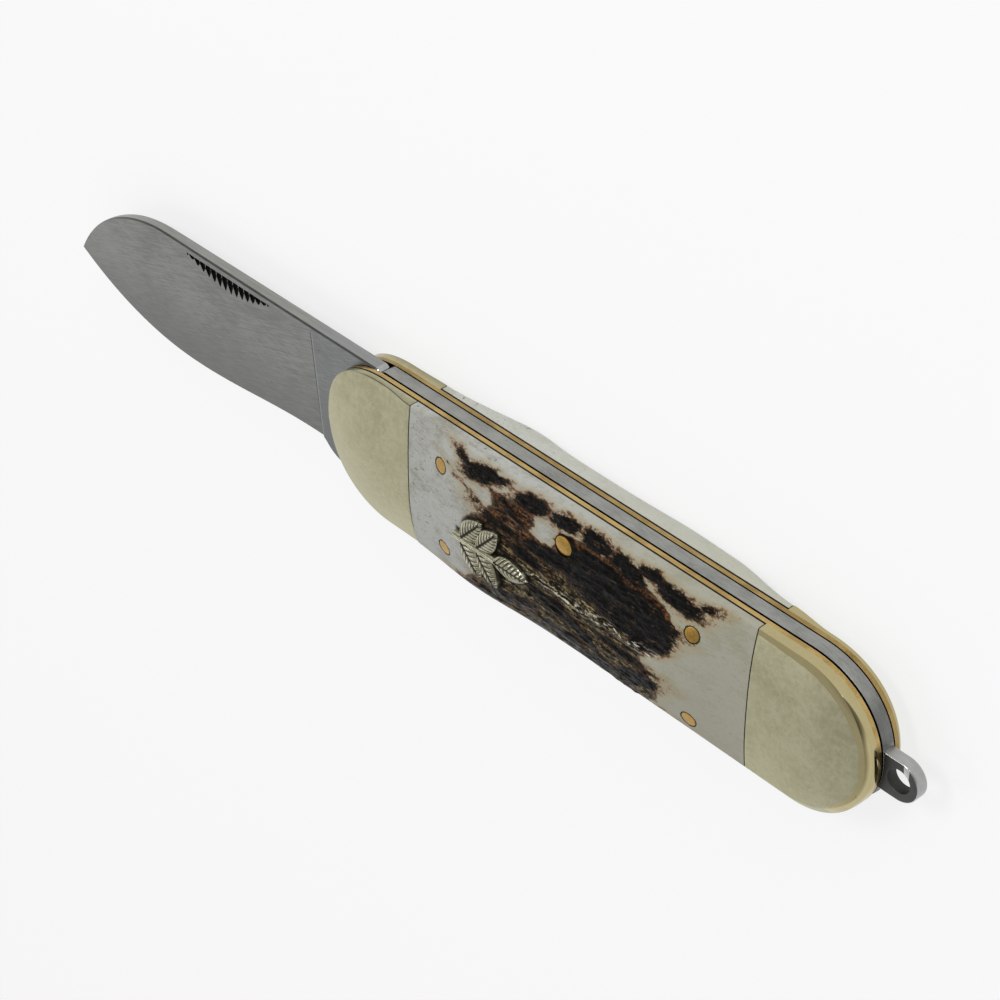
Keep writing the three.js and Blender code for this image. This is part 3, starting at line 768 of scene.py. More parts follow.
def make_blade_steel(plunge, width):
    material, tree, surface = new_tree("blade_steel")
    place = object_coordinates(tree)
    grains = [noise_value(tree, turned(tree, place, angle, (260, 6200, 1500)), 1.0, 5.0, 0.75)
              for angle in SCRATCH_ANGLES]
    clouds = noise_value(tree, place, 95.0, 4.0, 0.6)
    lines = plus(tree, times(tree, grains[0], 0.6), times(tree, grains[1], 0.4))
    back_lines = noise_value(tree, stretch_place(tree, place, (240, 900, 9000)), 1.0, 4.0, 0.7)
    lines = blend_values(tree, attribute(tree, "back"), lines, back_lines)
    tone = plus(tree, times(tree, lines, 0.8), times(tree, clouds, 0.2))
    colour = blend_colours(tree, ramp_value(tree, tone, 0.43, 0.57), srgb(116, 117, 113), srgb(144, 146, 142))
    across = node(tree, "ShaderNodeSeparateXYZ", i0=place).outputs[1]
    low_edge, spine_level = (float(in_scene([0, y, 0])[1]) for y in (-width, 0))
    # Painted shade, darker towards the edge.
    painted_edge_shade = ramp_value(tree, across, low_edge, low_edge + 0.6 * width * MM, 0.55, 0.0)
    colour = blend_colours(tree, painted_edge_shade, colour, srgb(102, 103, 99))
    behind = plunge_distance(tree, place, *plunge)
    tang = ramp_value(tree, behind, -0.02 * MM, 0.02 * MM)
    colour = tint(tree, colour, tang, 0.25, srgb(132, 137, 146))
    scratch = ramp_value(tree, grains[0], 0.66, 0.7)
    colour = tint(tree, colour, scratch, 0.35, srgb(92, 92, 90))
    specks = place_group(tree, pores, Place=place, Size=1500.0, Amount=0.25).outputs[0]
    colour = tint(tree, colour, specks, 0.5, srgb(70, 68, 64))
    # A painted shadow at the foot of the plunge, and a painted highlight on the tang just behind it.
    low_enough = ramp_value(tree, across, spine_level - 1.6 * MM, spine_level - 0.7 * MM, 1.0, 0.0)
    corner = times(tree, band(tree, behind, (-0.2, -0.05), (0.1, 0.15)), low_enough)
    colour = tint(tree, colour, corner, 0.8, srgb(40, 40, 39))
    polished_highlight = times(tree, band(tree, behind, (0.12, 0.18), (0.28, 0.4)), low_enough)
    colour = tint(tree, colour, polished_highlight, 0.35, srgb(190, 192, 192))
    # Painted shade on the chamfers beside the back.
    colour = blend_colours(tree, attribute(tree, "chamfer"), colour, srgb(74, 74, 71))
    # Painted light: the flat back, which faces the lamps, is made lighter.
    colour = tint(tree, colour, attribute(tree, "back"), 0.3, srgb(176, 176, 171))
    # A painted highlight on the polished shoulder, which is also smoother.
    buffed_sheen = attribute(tree, "buffed_sheen")
    colour = tint(tree, colour, buffed_sheen, 0.4, srgb(206, 207, 206))
    # Painted shade: the grooves of the nail pull are made near black.
    struck_part = attribute(tree, "struck")
    colour = blend_colours(tree, struck_part, colour, srgb(20, 20, 20))
    rough = plus(tree, ramp_value(tree, lines, 0.35, 0.65, 0.32, 0.42),
                 ramp_value(tree, clouds, 0.3, 0.7, -0.03, 0.03))
    rough = blend_values(tree, struck_part, blend_values(tree, buffed_sheen, rough, 0.14), 0.7)
    link_surface(tree, surface, colour, rough, bump(tree, lines, 0.006))
    surface.inputs["Metallic"].default_value = 1.0
    return material


print("scratches on the blade, in degrees to its length:", SCRATCH_ANGLES)

# %% [markdown]
# Stag
#
# A stag scale is a slice of antler. Its heart is grey-white and dense, and where the outside of the
# antler was left on, it is dark brown, ridged and glossy, with a rust-red fringe where the dark layer
# runs out. The carving below writes how far inside the bark a point lies, and the finish turns that
# distance into colour: white, rust, near black, then a streaky brown.

# %% Stag finish


def colour_ramp(tree, value, stops):
    made = node(tree, "ShaderNodeValToRGB", Fac=value)
    ramp = made.color_ramp
    ramp.elements[0].position, ramp.elements[0].color = stops[0]
    ramp.elements[1].position, ramp.elements[1].color = stops[-1]
    for position, colour in stops[1:-1]:
        ramp.elements.new(position).color = colour
    return made.outputs[0]


def stag(name, side, painted_light):
    """Side is 1 for the mark side and -1 for the pile side; the third argument is how far the antler is
    painted whiter, as painted light for the brightly lit pile side.
    """
    material, tree, surface = new_tree(name)
    place = object_coordinates(tree)

    def stretched_noise(stretch, detail, roughness):
        return noise_value(tree, stretch_place(tree, place, stretch), 1.0, detail, roughness)

    def weighted(*parts):
        total = times(tree, *parts[0])
        for part in parts[1:]:
            total = plus(tree, total, times(tree, *part))
        return total

    fine = stretched_noise((2600, 3000, 2600), 5.0, 0.72)
    clods = stretched_noise((800, 1500, 900), 4.0, 0.62)
    streaks = stretched_noise((520, 2900, 1500), 5.0, 0.68)
    clouds = stretched_noise((170, 230, 230), 4.0, 0.6)
    fray = weighted((minus(tree, fine, 0.5), 1.1), (minus(tree, clods, 0.5), 1.0))
    raw_crust, raw_tan = attribute(tree, "crust"), attribute(tree, "tan")
    crust, tan = plus(tree, raw_crust, fray), plus(tree, raw_tan, fray)
    axes = node(tree, "ShaderNodeSeparateXYZ", i0=place)
    antler = colour_ramp(tree, weighted((clouds, 0.5), (streaks, 0.25), (fine, 0.25)), [
        (0.41, srgb(150, 148, 136)), (0.47, srgb(166, 166, 159)), (0.54, srgb(178, 180, 175)),
        (0.61, srgb(164, 163, 152))])
    warm = ramp_value(tree, axes.outputs[0], -0.012, 0.022, 0.0, 0.65)
    antler = blend_colours(tree, warm, antler, srgb(156, 153, 132))
    antler = blend_colours(tree, painted_light, antler, srgb(206, 207, 196))
    bark_tone = weighted((streaks, 0.45), (clods, 0.25), (fine, 0.3))
    gold = colour_ramp(tree, bark_tone, [
        (0.46, srgb(14, 12, 9)), (0.49, srgb(36, 30, 20)), (0.53, srgb(80, 69, 45)),
        (0.57, srgb(150, 138, 102))])
    rusty = colour_ramp(tree, bark_tone, [
        (0.45, srgb(14, 11, 9)), (0.49, srgb(42, 30, 22)), (0.53, srgb(78, 55, 38)),
        (0.58, srgb(124, 100, 72))])
    core = colour_ramp(tree, bark_tone, [
        (0.48, srgb(7, 7, 7)), (0.54, srgb(18, 15, 13)), (0.57, srgb(44, 33, 24)), (0.61, srgb(86, 68, 48))])
    fringe_colour = colour_ramp(tree, fine, [
        (0.45, srgb(18, 12, 8)), (0.5, srgb(58, 34, 18)), (0.56, srgb(124, 78, 40))])
    halo = largest(tree, ramp_value(tree, raw_crust, -1.3, -0.3), ramp_value(tree, raw_tan, -1.2, -0.1))
    colour = tint(tree, antler, halo, 0.55, srgb(158, 142, 106))
    wandering = plus(tree, axes.outputs[1], times(tree, clouds, 0.004))
    low_part = ramp_value(tree, wandering, 0.0035, 0.0058, 1.0, 0.0)
    stained = blend_colours(tree, low_part, rusty, gold)
    stained_edge = times(tree, ramp_value(tree, tan, -0.35, -0.05), 0.85)
    colour = blend_colours(tree, stained_edge, colour, fringe_colour)
    colour = blend_colours(tree, ramp_value(tree, tan, 0.0, 0.45), colour, stained)
    rust_edge = times(tree, ramp_value(tree, plus(tree, crust, fray), -0.45, 0.0),
                      ramp_value(tree, raw_tan, 0.4, 1.6, 0.95, 0.35))
    colour = blend_colours(tree, rust_edge, colour, fringe_colour)
    inside = ramp_value(tree, crust, -0.06, 0.22)
    colour = blend_colours(tree, inside, colour, core)
    bare = minus(tree, 1.0, ramp_value(tree, tan, -0.3, 0.0))
    dashes = ramp_value(tree, stretched_noise((1100, 2300, 1500), 2.0, 0.5), 0.66, 0.72)
    flecks = place_group(tree, pores, Place=place, Size=1900.0, Amount=0.6).outputs[0]
    worn = times(tree, largest(tree, dashes, times(tree, flecks, 0.6)), bare)
    worn = times(tree, worn, ramp_value(tree, axes.outputs[0], -0.02, 0.0, 1.0, 0.3))
    colour = tint(tree, colour, worn, 0.6, srgb(92, 84, 68))
    # Painted highlights: pale flecks along the crest, standing in for glints.
    glints = times(tree, ramp_value(tree, stretched_noise((900, 3200, 1500), 3.0, 0.6), 0.55, 0.6),
                   attribute(tree, "crest"))
    colour = blend_colours(tree, glints, colour, srgb(206, 201, 186))
    # A dark hairline at the liner, partly epoxy and partly painted shade.
    colour = blend_colours(tree, liner_seam(tree, place, side, SEAM_LINE), colour, SOOT_AND_SHADE)
    # Painted shadow round the badge and pins, and dark joints.
    colour = blend_colours(tree, attribute(tree, "patina_and_shadow"), colour, srgb(22, 20, 17))
    barked = largest(tree, ramp_value(tree, tan, -0.3, 0.3), inside)
    shine = ramp_value(tree, clods, 0.4, 0.6, 0.34, 0.16)
    surface.inputs["Specular IOR Level"].default_value = 0.05
    relief = times(tree, weighted((streaks, 1.0), (clods, 0.8), (fine, 0.5)), barked)
    relief = minus(tree, plus(tree, relief, times(tree, fine, 0.06)), times(tree, worn, 0.2))
    link_surface(tree, surface, colour, blend_values(tree, barked, 0.4, shine), bump(tree, relief, 0.14))
    return material


mark_stag = stag("mark_stag", 1, 0.0)
# The pile side gets painted light: its antler is made paler.
pile_stag = stag("pile_stag", -1, 0.5)
print("nodes in the stag finish:", len(mark_stag.node_tree.nodes))

# %% [markdown]
# Bolsters
#
# A bolster is a block of nickel silver at each end. Each row of the sheet runs straight along the
# handle at one depth below the spine, from the joint to the outline, so the rows crowd together at
# the corners, where the crown turns fastest. The rear bolster goes on over its crease and down a
# broad buffed roll, which is a quarter of an ellipse drawn in at the top.

# %% Bolsters
EDGE_ROLL = 0.07
JOINT_ROLL = 0.09
BUTT_ROLL_IN = 1.2
BUTT_ROLL_RISE = {"mark": 1.6, "pile": 0.9}
ROLL_TURN = 0.45 * math.pi
BELOW_FACE = 0.004

# Shares of a bolster's length, close together where its edge is rounded at the joint
JOINT_STEPS = [0, 0.0018, 0.004, 0.007]


def roll(inside, radius):
    """How far a small rounded edge falls, near enough to the edge."""
    near = np.clip(radius - inside, 0, radius)
    return radius - np.sqrt(radius ** 2 - near ** 2)


def end_angles(count):
    """Angles whose points crowd at spine and belly."""
    t = np.linspace(0, 1, count)
    return math.pi / 2 - math.pi * t


def front_bolster_surface(name, columns=70, rows=141):
    angles = end_angles(rows)
    ends = end_point(FRONT_CENTRE, FRONT_REACH, FRONT_POWERS, math.pi - angles)
    joint = -SEAM / 2
    spread = 1 - (1 - np.linspace(0, 1, columns)) ** 1.8
    steps = np.concatenate([JOINT_STEPS, spread[1:-1] * 0.985 + 0.01, [0.998, 1.0]])
    x = joint + (ends[:, :1] - joint) * steps
    y = np.repeat(ends[:, 1:], len(steps), 1)
    inside = edge_distance(x, y)[0]
    z = front_face(name, x, y) - roll(np.maximum(inside, 0), EDGE_ROLL) - roll(joint - x, JOINT_ROLL)
    return np.stack([x, y, SIDES[name] * z], -1)


def roll_x(angles, turn):
    """x of the buffed roll, at each angle round the butt and each turn up the roll."""
    reach = REAR_REACH - BUTT_ROLL_IN * (1 - np.cos(turn))
    return REAR_CENTRE + reach * bend(np.cos(angles), np.where(np.sin(angles) > 0, *REAR_POWERS))


def butt_crease(name, angles):
    """How far round the buffed roll reaches before it meets the face, for each row."""
    low_turn, high_turn = np.zeros_like(angles), np.full_like(angles, ROLL_TURN)
    y = end_point(REAR_CENTRE, REAR_REACH, REAR_POWERS, angles)[:, 1]
    for _ in range(30):
        turn = (low_turn + high_turn) / 2
        above = LINER_OUT + BUTT_ROLL_RISE[name] * np.sin(turn) > rear_face(name, roll_x(angles, turn), y)
        high_turn = np.where(above, turn, high_turn)
        low_turn = np.where(above, low_turn, turn)
    return turn


def rear_bolster_surface(name, columns=70, rows=161, roll_columns=10):
    angles = end_angles(rows)
    turn = butt_crease(name, angles)
    joint = SCALE_LENGTH + SEAM / 2
    y = end_point(REAR_CENTRE, REAR_REACH, REAR_POWERS, angles)[:, 1]
    spread = 1 - (1 - np.linspace(0, 1, columns)) ** 1.6
    steps = np.concatenate([JOINT_STEPS, spread[1:] * 0.99 + 0.01])
    x = joint + (roll_x(angles, turn)[:, None] - joint) * steps
    yy = np.repeat(y[:, None], len(steps), 1)
    z = rear_face(name, x, yy) - roll(x - joint, JOINT_ROLL)
    down = np.linspace(1, 0, roll_columns + 1)[1:]
    wall_turn = turn[:, None] * down
    x = np.concatenate([x, roll_x(angles[:, None], wall_turn)], 1)
    z = np.concatenate([z, LINER_OUT + BUTT_ROLL_RISE[name] * np.sin(wall_turn)], 1)
    yy = np.repeat(y[:, None], x.shape[1], 1)
    return np.stack([x, yy, SIDES[name] * z], -1)


def buffed_sheen(name, face):
    """Faces below the crown are the walls and the roll, which are polished; on the pile side the finish also
    paints them a golden reflection.
    """
    def test(middles):
        below = face(name, middles[:, 0], middles[:, 1]) - np.abs(middles[:, 2])
        return np.where(below > BELOW_FACE, 1.0, 0.0)
    return test


CREASE_IN = 0.07
CREASE_WIDTH = 0.07
ROLL_BAND = (0.75, 1.3)


def wheel_band(bolster, name):
    """The band along the spine and round the butt that the wheel polished, and the walls below it, which the
    finish also paints a golden reflection.
    """
    place = points_of(bolster)
    x, y = place[:, 0], place[:, 1]
    inside, nearest = edge_distance(x, y)
    reach = mix(*ROLL_BAND, smooth((x - SCALE_LENGTH) / (0.8 * REAR_LENGTH)))
    rolled = (1 - smooth((inside - reach + 0.1) / 0.2)) * (nearest > -0.6)
    below = rear_face(name, x, y) - np.abs(place[:, 2]) > BELOW_FACE
    return np.maximum(rolled, below)


def crease_line(bolster, joint, fade):
    """A thin brown line just inside the rim, where the wheel left its polish, and dust in the joint."""
    place = points_of(bolster)
    inside, nearest = edge_distance(place[:, 0], place[:, 1])
    on_top = np.abs(place[:, 2]) > LINER_OUT + 0.3
    line = np.exp(-(((inside - CREASE_IN) / CREASE_WIDTH) ** 2)) * (nearest > 0) * on_top
    point_mask(bolster, "crease", np.maximum(line * fade(place[:, 0]), np.abs(place[:, 0] - joint) < 0.01))


for name, side in SIDES.items():
    bolster = pressed_sheet("front bolster", front_bolster_surface(name), side * LINER_OUT)
    face_mask(bolster, "polish_and_sheen", lambda middles: buffed_sheen(name, front_face)(middles) * 0.5)
    crease_line(bolster, -SEAM / 2, lambda x: 0.9 * smooth((x + 13) / 6))
    finish = seamed_silver if name == "mark" else bolster_silver
    settle(bolster, f"{name}_front_bolster_crowned", finish, [f"{name}_front_bolster"])
    bolster = pressed_sheet("rear bolster", rear_bolster_surface(name), side * LINER_OUT)
    point_mask(bolster, "polish_and_sheen", wheel_band(bolster, name))
    crease_line(bolster, SCALE_LENGTH + SEAM / 2, np.zeros_like)
    settle(bolster, f"{name}_rear_bolster_crowned", bolster_silver, [f"{name}_rear_bolster"],
           angle=22)

# %% [markdown]
# Liners and spring
#
# The liners are brass plates, and the backspring is a steel bar as thick as the blade. Both are plates
# with their edges broken. The spring's lower edge follows the folded blade's edge, and its butt end
# grows into the bail, a thinner pierced lug with well rounded rims.

# %% Places of the pins
PIVOT_FROM_NOSE = 10.1
PIVOT_X = NOSE_X + PIVOT_FROM_NOSE
PIVOT_Y = -13.0
PIN_PLACES = {
    "front_upper": (6.75, -4.85),
    "front_lower": (6.75, -17.8),
    "rear_upper": (49.0, -4.85),
    "rear_lower": (49.0, -17.8),
}
PIN_RADIUS = 1.05
CENTER_PLACE = (28.45, -4.3)
CENTER_SHANK = 1.0
CENTER_HEAD = 1.38
REAR_PIN_PLACE = (65.5, -9.0)
REAR_PIN_RADIUS = 1.0
PIVOT_RADIUS = 1.25
CLEARANCE = 0.05
PIN_HOLES = [(PIN_RADIUS, place) for place in PIN_PLACES.values()]
SPRING_HOLES = [(CENTER_SHANK, CENTER_PLACE), (REAR_PIN_RADIUS, REAR_PIN_PLACE)]


def drill(piece, holes, bottom, top):
    """Round holes, each a pin's radius and place, all cut by one Boolean."""
    rods = [rod("hole", radius + CLEARANCE, *place, bottom, top) for radius, place in holes]
    return apply_boolean(piece, join_tools(rods), "DIFFERENCE")


print("pins through the spring:", len(SPRING_HOLES), "and in each scale:", len(PIN_HOLES))

# %% Liners
# Painted shade on the liners' rims: none on the mark side, a little on the more brightly lit pile side.
RIM_SHADE = {"mark": 0.0, "pile": 0.2}

for name, side in SIDES.items():
    bottom, top = sorted((side * LINER_IN, side * LINER_OUT))
    liner = plate("liner", handle_outline(), bottom, top)
    drill(liner, PIN_HOLES + [(PIVOT_RADIUS, (PIVOT_X, PIVOT_Y))] + SPRING_HOLES, bottom - 1, top + 1)
    soften(liner, 0.04, 2, 40)
    # The inner faces, seen only in the gaps beside the spring, are painted near black as shade.
    face_mask(liner, "painted_shade",
              lambda middles: np.where(np.abs(middles[:, 2]) < LINER_IN + 0.01, 1.0, RIM_SHADE[name]))
    settle(liner, f"{name}_liner_edged", liner_brass, [f"{name}_liner"])

# %% Blade outline
BLADE_DEPTH = 0.2
BLADE_WIDTH = 19.3
HEEL_WIDTH = 17.25
BLADE_REACH = 67.3
TIP_X = PIVOT_X - BLADE_REACH
TIP_DROP = 12.4
TIP_CURVE = 21.8
BELLY_CURVE = 24.6
TIP_FULLNESS = 0.73
BELLY_FULLNESS = 0.26
HEEL_FROM_PIVOT = 14.75
HEEL_NOTCH = 1.2
HEEL_X = PIVOT_X - HEEL_FROM_PIVOT
PLUNGE_BOTTOM_X = HEEL_X + HEEL_NOTCH
PLUNGE_LEAN = 1.75
PLUNGE_TOP_X = PLUNGE_BOTTOM_X - PLUNGE_LEAN
SHOULDER_FROM_PIVOT = 1.7
SHOULDER_X = PIVOT_X - SHOULDER_FROM_PIVOT
TANG_FLAT = 8.4
TANG_CORNER = 6.2
HALF_EDGE = 0.05
TIP_THINNING = 0.3
THINNING_POWER = 1.6


def arc_drop(share, fullness):
    return (1 - np.sqrt(1 - fullness * share ** 2)) / (1 - math.sqrt(1 - fullness))


def blade_spine_y(x):
    share = np.clip((TIP_X + TIP_CURVE - x) / TIP_CURVE, 0, 1)
    return -BLADE_DEPTH - TIP_DROP * arc_drop(share, TIP_FULLNESS)


def blade_edge_y(x):
    deepest_x = TIP_X + BELLY_CURVE
    deepest_y = -BLADE_DEPTH - BLADE_WIDTH
    forward = np.clip((deepest_x - x) / BELLY_CURVE, 0, 1)
    front = deepest_y + (BLADE_WIDTH - TIP_DROP) * arc_drop(forward, BELLY_FULLNESS)
    share = np.clip((x - deepest_x) / (HEEL_X - deepest_x), 0, 1)
    rear = deepest_y + (BLADE_WIDTH - HEEL_WIDTH) * (1 - np.cos(math.pi * share)) / 2
    return np.where(x < deepest_x, front, rear + np.maximum(x - HEEL_X, 0))


print("blade width at the heel:", float(blade_spine_y(np.array(HEEL_X)) - blade_edge_y(np.array(HEEL_X))))

# %% Spring with its bail
SPRING_DEPTH = 6.1
SHOULDER_GAP = 0.2
SEAT_GAP = 0.1
SEAT_BEYOND_TANG = 0.5
EDGE_GAP = 0.4
TIP_GAP = 0.9
SPRING_TIP_X = SHOULDER_X + SHOULDER_GAP
SPRING_TIP_Y = PIVOT_Y + TANG_FLAT + SEAT_GAP
SEAT_END_X = PIVOT_X + TANG_FLAT + SEAT_BEYOND_TANG
SPRING_SLOPE = 6
CLOSED_TIP_X = 2 * PIVOT_X - TIP_X
BLADE_STOP_X = CLOSED_TIP_X + TIP_GAP
SPRING_END_DEPTH = 15.2
BAIL_BEYOND_BUTT = 2.12
BAIL_DEPTH = 10.87
BAIL = (BUTT_X + BAIL_BEYOND_BUTT, -BAIL_DEPTH)
BAIL_RADIUS = 2.7
BAIL_HOLE = 1.55
BAIL_HALF = 0.8
NECK_INSIDE = 3


def closed_edge_y(x):
    """Where the folded blade's edge lies."""
    return 2 * PIVOT_Y - blade_edge_y(2 * PIVOT_X - x)


def spring_outline():
    tip = [(SPRING_TIP_X + 0.6, 0), (SPRING_TIP_X + 0.2, -0.2), (SPRING_TIP_X, -0.6),
           (SPRING_TIP_X, SPRING_TIP_Y), (SEAT_END_X, SPRING_TIP_Y)]
    t = np.linspace(0, 1, 9)[1:, None]
    a = np.array([SEAT_END_X, SPRING_TIP_Y])
    b = np.array([SEAT_END_X + SPRING_SLOPE / 2, SPRING_TIP_Y])
    c = np.array([SEAT_END_X + SPRING_SLOPE, -SPRING_DEPTH])
    slope = (1 - t) ** 2 * a + 2 * t * (1 - t) * b + t ** 2 * c
    x = np.linspace(CLOSED_TIP_X - BELLY_CURVE, CLOSED_TIP_X, 24)
    follow = np.column_stack([x, closed_edge_y(x) + EDGE_GAP])
    stop_y = float(closed_edge_y(np.array(CLOSED_TIP_X))) + EDGE_GAP
    foot = [(BLADE_STOP_X, stop_y), (BLADE_STOP_X, -SPRING_END_DEPTH - 1)]
    butt = end_point(REAR_CENTRE, REAR_REACH, REAR_POWERS, np.linspace(-math.pi / 2, math.pi / 2, 90))
    butt = butt[butt[:, 1] > -SPRING_END_DEPTH]
    return np.concatenate([tip, slope, follow, foot, butt])


def bail_outline():
    x, y = BAIL
    turn = np.linspace(-math.pi / 2, math.pi / 2, 40)
    arc = np.column_stack([x + BAIL_RADIUS * np.cos(turn), y + BAIL_RADIUS * np.sin(turn)])
    neck = [(BUTT_X - NECK_INSIDE, y + BAIL_RADIUS), (BUTT_X - NECK_INSIDE, y - BAIL_RADIUS)]
    return np.concatenate([neck, arc])


# Where the spring's two sides lie, with a wider gap to the mark liner than to the pile liner
MARK_SIDE = 0.85
PILE_SIDE = -0.97

spring = plate("spring", spring_outline(), PILE_SIDE, MARK_SIDE)
soften(spring, 0.05, 2, 40)
bail = plate("bail", bail_outline(), -BAIL_HALF, BAIL_HALF)
apply_boolean(bail, rod("bore", BAIL_HOLE, *BAIL, -3, 3), "DIFFERENCE")
soften(bail, 0.32, 5, 40)
apply_boolean(spring, bail, "UNION")
drill(spring, SPRING_HOLES, -3, 3)


def between_liners(middles):
    """Painted shade on the spring's flat sides, which show only in the gaps beside the liners, and inside the
    bail's hole, and a painted dark reflection towards the butt.
    """
    x, y, z = middles.T
    deep = edge_distance(x, y)[0] > 0.03
    in_hole = np.hypot(x - BAIL[0], y - BAIL[1]) < BAIL_HOLE + 0.1
    # A painted dark reflection on the spring's walls towards the butt.
    at_butt = 0.42 * smooth((x - BUTT_X + 4.5) / 2.5) * (x < BUTT_X - 0.2)
    return np.where((np.abs(z) > BAIL_HALF + 0.03) & deep, 1.0, np.where(in_hole, 0.85, at_butt))


def bail_polish_and_sheen(middles):
    """The bail is polished by what hangs in it, and its flat faces most, and its finish paints these faces
    lighter as a highlight.
    """
    x, y, z = middles.T
    return np.where(x > BUTT_X - 0.4, np.where(np.abs(z) > BAIL_HALF - 0.05, 1.0, 0.25), 0.0)


face_mask(spring, "painted_shade", between_liners)
face_mask(spring, "polish_and_sheen", bail_polish_and_sheen)
settle(spring, "backspring_ground", spring_steel, ["backspring"])

# %% [markdown]
# Blade
#
# The blade is flat ground: each section runs straight from the full thickness under the spine to the
# edge. It is skinned from sections that lean with the plunge line, where the grind stops, so that the
# line is a row of edges and stays crisp. The tang is a separate plate, joined on by a Boolean.

# %% Ground part
SPINE_CHAMFER = 0.22
PLUNGE_RUN = 0.35
INTO_TANG = 0.3
TIP_TURN = 0.97
HAIR = 0.002
FLAT_HALF = HALF_STOCK - HAIR


def spine_half(x):
    share = np.clip((PLUNGE_TOP_X - x) / (PLUNGE_TOP_X - TIP_X), 0, 1)
    ground = np.minimum((blade_spine_y(x) - blade_edge_y(x)) / HEEL_WIDTH, 1)
    return HALF_STOCK * ground * (1 - TIP_THINNING * share ** THINNING_POWER)


def half_thickness(x, y):
    share = (y - blade_edge_y(x)) / np.maximum(blade_spine_y(x) - blade_edge_y(x), 1e-6)
    return mix(HALF_EDGE, spine_half(x), np.clip(share, 0, 1))


def blade_section(columns_x, lift, section_rows=26):
    """Half a section for each station. columns_x(s) gives x at share s of the way to the edge."""
    shares = np.linspace(0, 1, section_rows)
    x = columns_x(shares)
    top, bottom = blade_spine_y(x), blade_edge_y(x)
    chamfer = np.minimum(np.minimum(SPINE_CHAMFER, (top - bottom) / 4), spine_half(x) / 3)
    side_y = mix(top - chamfer, bottom, shares)
    side_z = lift(shares, x, half_thickness(x, side_y))
    first = [(x[0], top[0], side_z[0] - chamfer[0])]
    side = list(zip(x, side_y, side_z))
    return np.array(first + side)


def whole_ring(half):
    """The other half is the mirror image, walked back."""
    back = half[::-1] * np.array([1, 1, -1])
    return np.concatenate([half, back])


def plunge_x(share):
    return PLUNGE_TOP_X + PLUNGE_LEAN * share


def blade_rings():
    flat = blade_section(lambda s: plunge_x(s) + INTO_TANG, lambda s, x, z: np.full_like(z, FLAT_HALF))
    rings = [whole_ring(flat)]
    for t in np.linspace(0, 1, 9):
        def station(s, t=t):
            wall = HALF_STOCK - mix(HALF_STOCK, HALF_EDGE, s)
            return plunge_x(s) - t * PLUNGE_RUN * wall

        def lift(s, x, z, t=t):
            return mix(FLAT_HALF, np.minimum(z, FLAT_HALF), 1 - (1 - t) ** 1.4)
        rings.append(whole_ring(blade_section(station, lift)))
    for t in np.linspace(0, 1, 40)[1:]:
        def station(s, t=t):
            toe = plunge_x(s) - PLUNGE_RUN * (HALF_STOCK - mix(HALF_STOCK, HALF_EDGE, s))
            return mix(toe, TIP_X + TIP_CURVE, t ** 1.2)
        rings.append(whole_ring(blade_section(station, lambda s, x, z: np.minimum(z, FLAT_HALF))))
    for t in np.linspace(0, 1, 49)[1:]:
        x = TIP_X + TIP_CURVE * (1 - math.sin(t * math.pi / 2 * TIP_TURN))
        rings.append(whole_ring(blade_section(lambda s: np.full_like(s, x), lambda s, xx, z: z)))
    return np.array(rings)


blade = skin("ground blade", blade_rings())
print("ground part, faces:", len(blade.data.polygons))

# %% Tang
KICK_CORNER = (1.15, 2.35)
KICK_END = (4.5, 2.85)
BOTTOM_FLAT = 5.0
SHOULDER_ROUND = 0.9
KICK_LEVEL = -16.95


def arc(x, y, radius, start, end, steps):
    turn = np.linspace(start, end, steps)
    return np.column_stack([x + radius * np.cos(turn), y + radius * np.sin(turn)])


def tang_outline():
    right, top, bottom = PIVOT_X + TANG_FLAT, PIVOT_Y + TANG_FLAT, PIVOT_Y - TANG_FLAT
    kick = np.array([PLUNGE_BOTTOM_X, float(blade_edge_y(np.array(PLUNGE_BOTTOM_X)))])
    t = np.linspace(0, 1, 14)[:, None]
    corner, end = kick + [KICK_CORNER[0], -KICK_CORNER[1]], kick + [KICK_END[0], -KICK_END[1]]
    curve = (1 - t) ** 2 * kick + 2 * t * (1 - t) * corner + t ** 2 * end
    low_arc = arc(right - TANG_CORNER, bottom + TANG_CORNER, TANG_CORNER, -math.pi / 2, 0, 16)
    high_arc = arc(right - TANG_CORNER, top - TANG_CORNER, TANG_CORNER, 0, math.pi / 2, 16)
    shoulder = arc(SHOULDER_X - SHOULDER_ROUND, -BLADE_DEPTH - SHOULDER_ROUND, SHOULDER_ROUND, 0,
                   math.pi / 2, 8)
    start = [(PLUNGE_TOP_X + 10 * HAIR, -BLADE_DEPTH)]
    curve[0, 0] += 10 * HAIR
    return np.concatenate([start, curve, [(PIVOT_X - BOTTOM_FLAT, bottom)], low_arc, high_arc,
                           [(SHOULDER_X, top)], shoulder])


tang = plate("tang", tang_outline(), -HALF_STOCK, HALF_STOCK)
place = points_of(tang)
plunge_side = place[:, 0] > plunge_x((-BLADE_DEPTH - place[:, 1]) / (BLADE_WIDTH - 3)) + 0.3


def on_tang_rim(edge):
    """Rim edges behind the plunge line, which get the blade's own chamfer."""
    a, b = (place[i] for i in edge.vertices)
    flat = abs(a[2] - b[2]) < 0.01
    clear = all(plunge_side[i] or place[i][1] > -BLADE_DEPTH - 0.01 or place[i][1] < KICK_LEVEL
                for i in edge.vertices)
    return flat and clear and not (abs(a[0] - b[0]) < 2.5 and abs(a[1] - b[1]) > 10)


edit_only(tang, "edges", on_tang_rim)
bpy.ops.mesh.bevel(offset=SPINE_CHAMFER * MM, segments=1, affect="EDGES", clamp_overlap=False)
done_editing()
apply_boolean(blade, tang, "UNION")
apply_boolean(blade, rod("hole", PIVOT_RADIUS + CLEARANCE, PIVOT_X, PIVOT_Y, -3, 3), "DIFFERENCE")
print("blade faces:", len(blade.data.polygons))

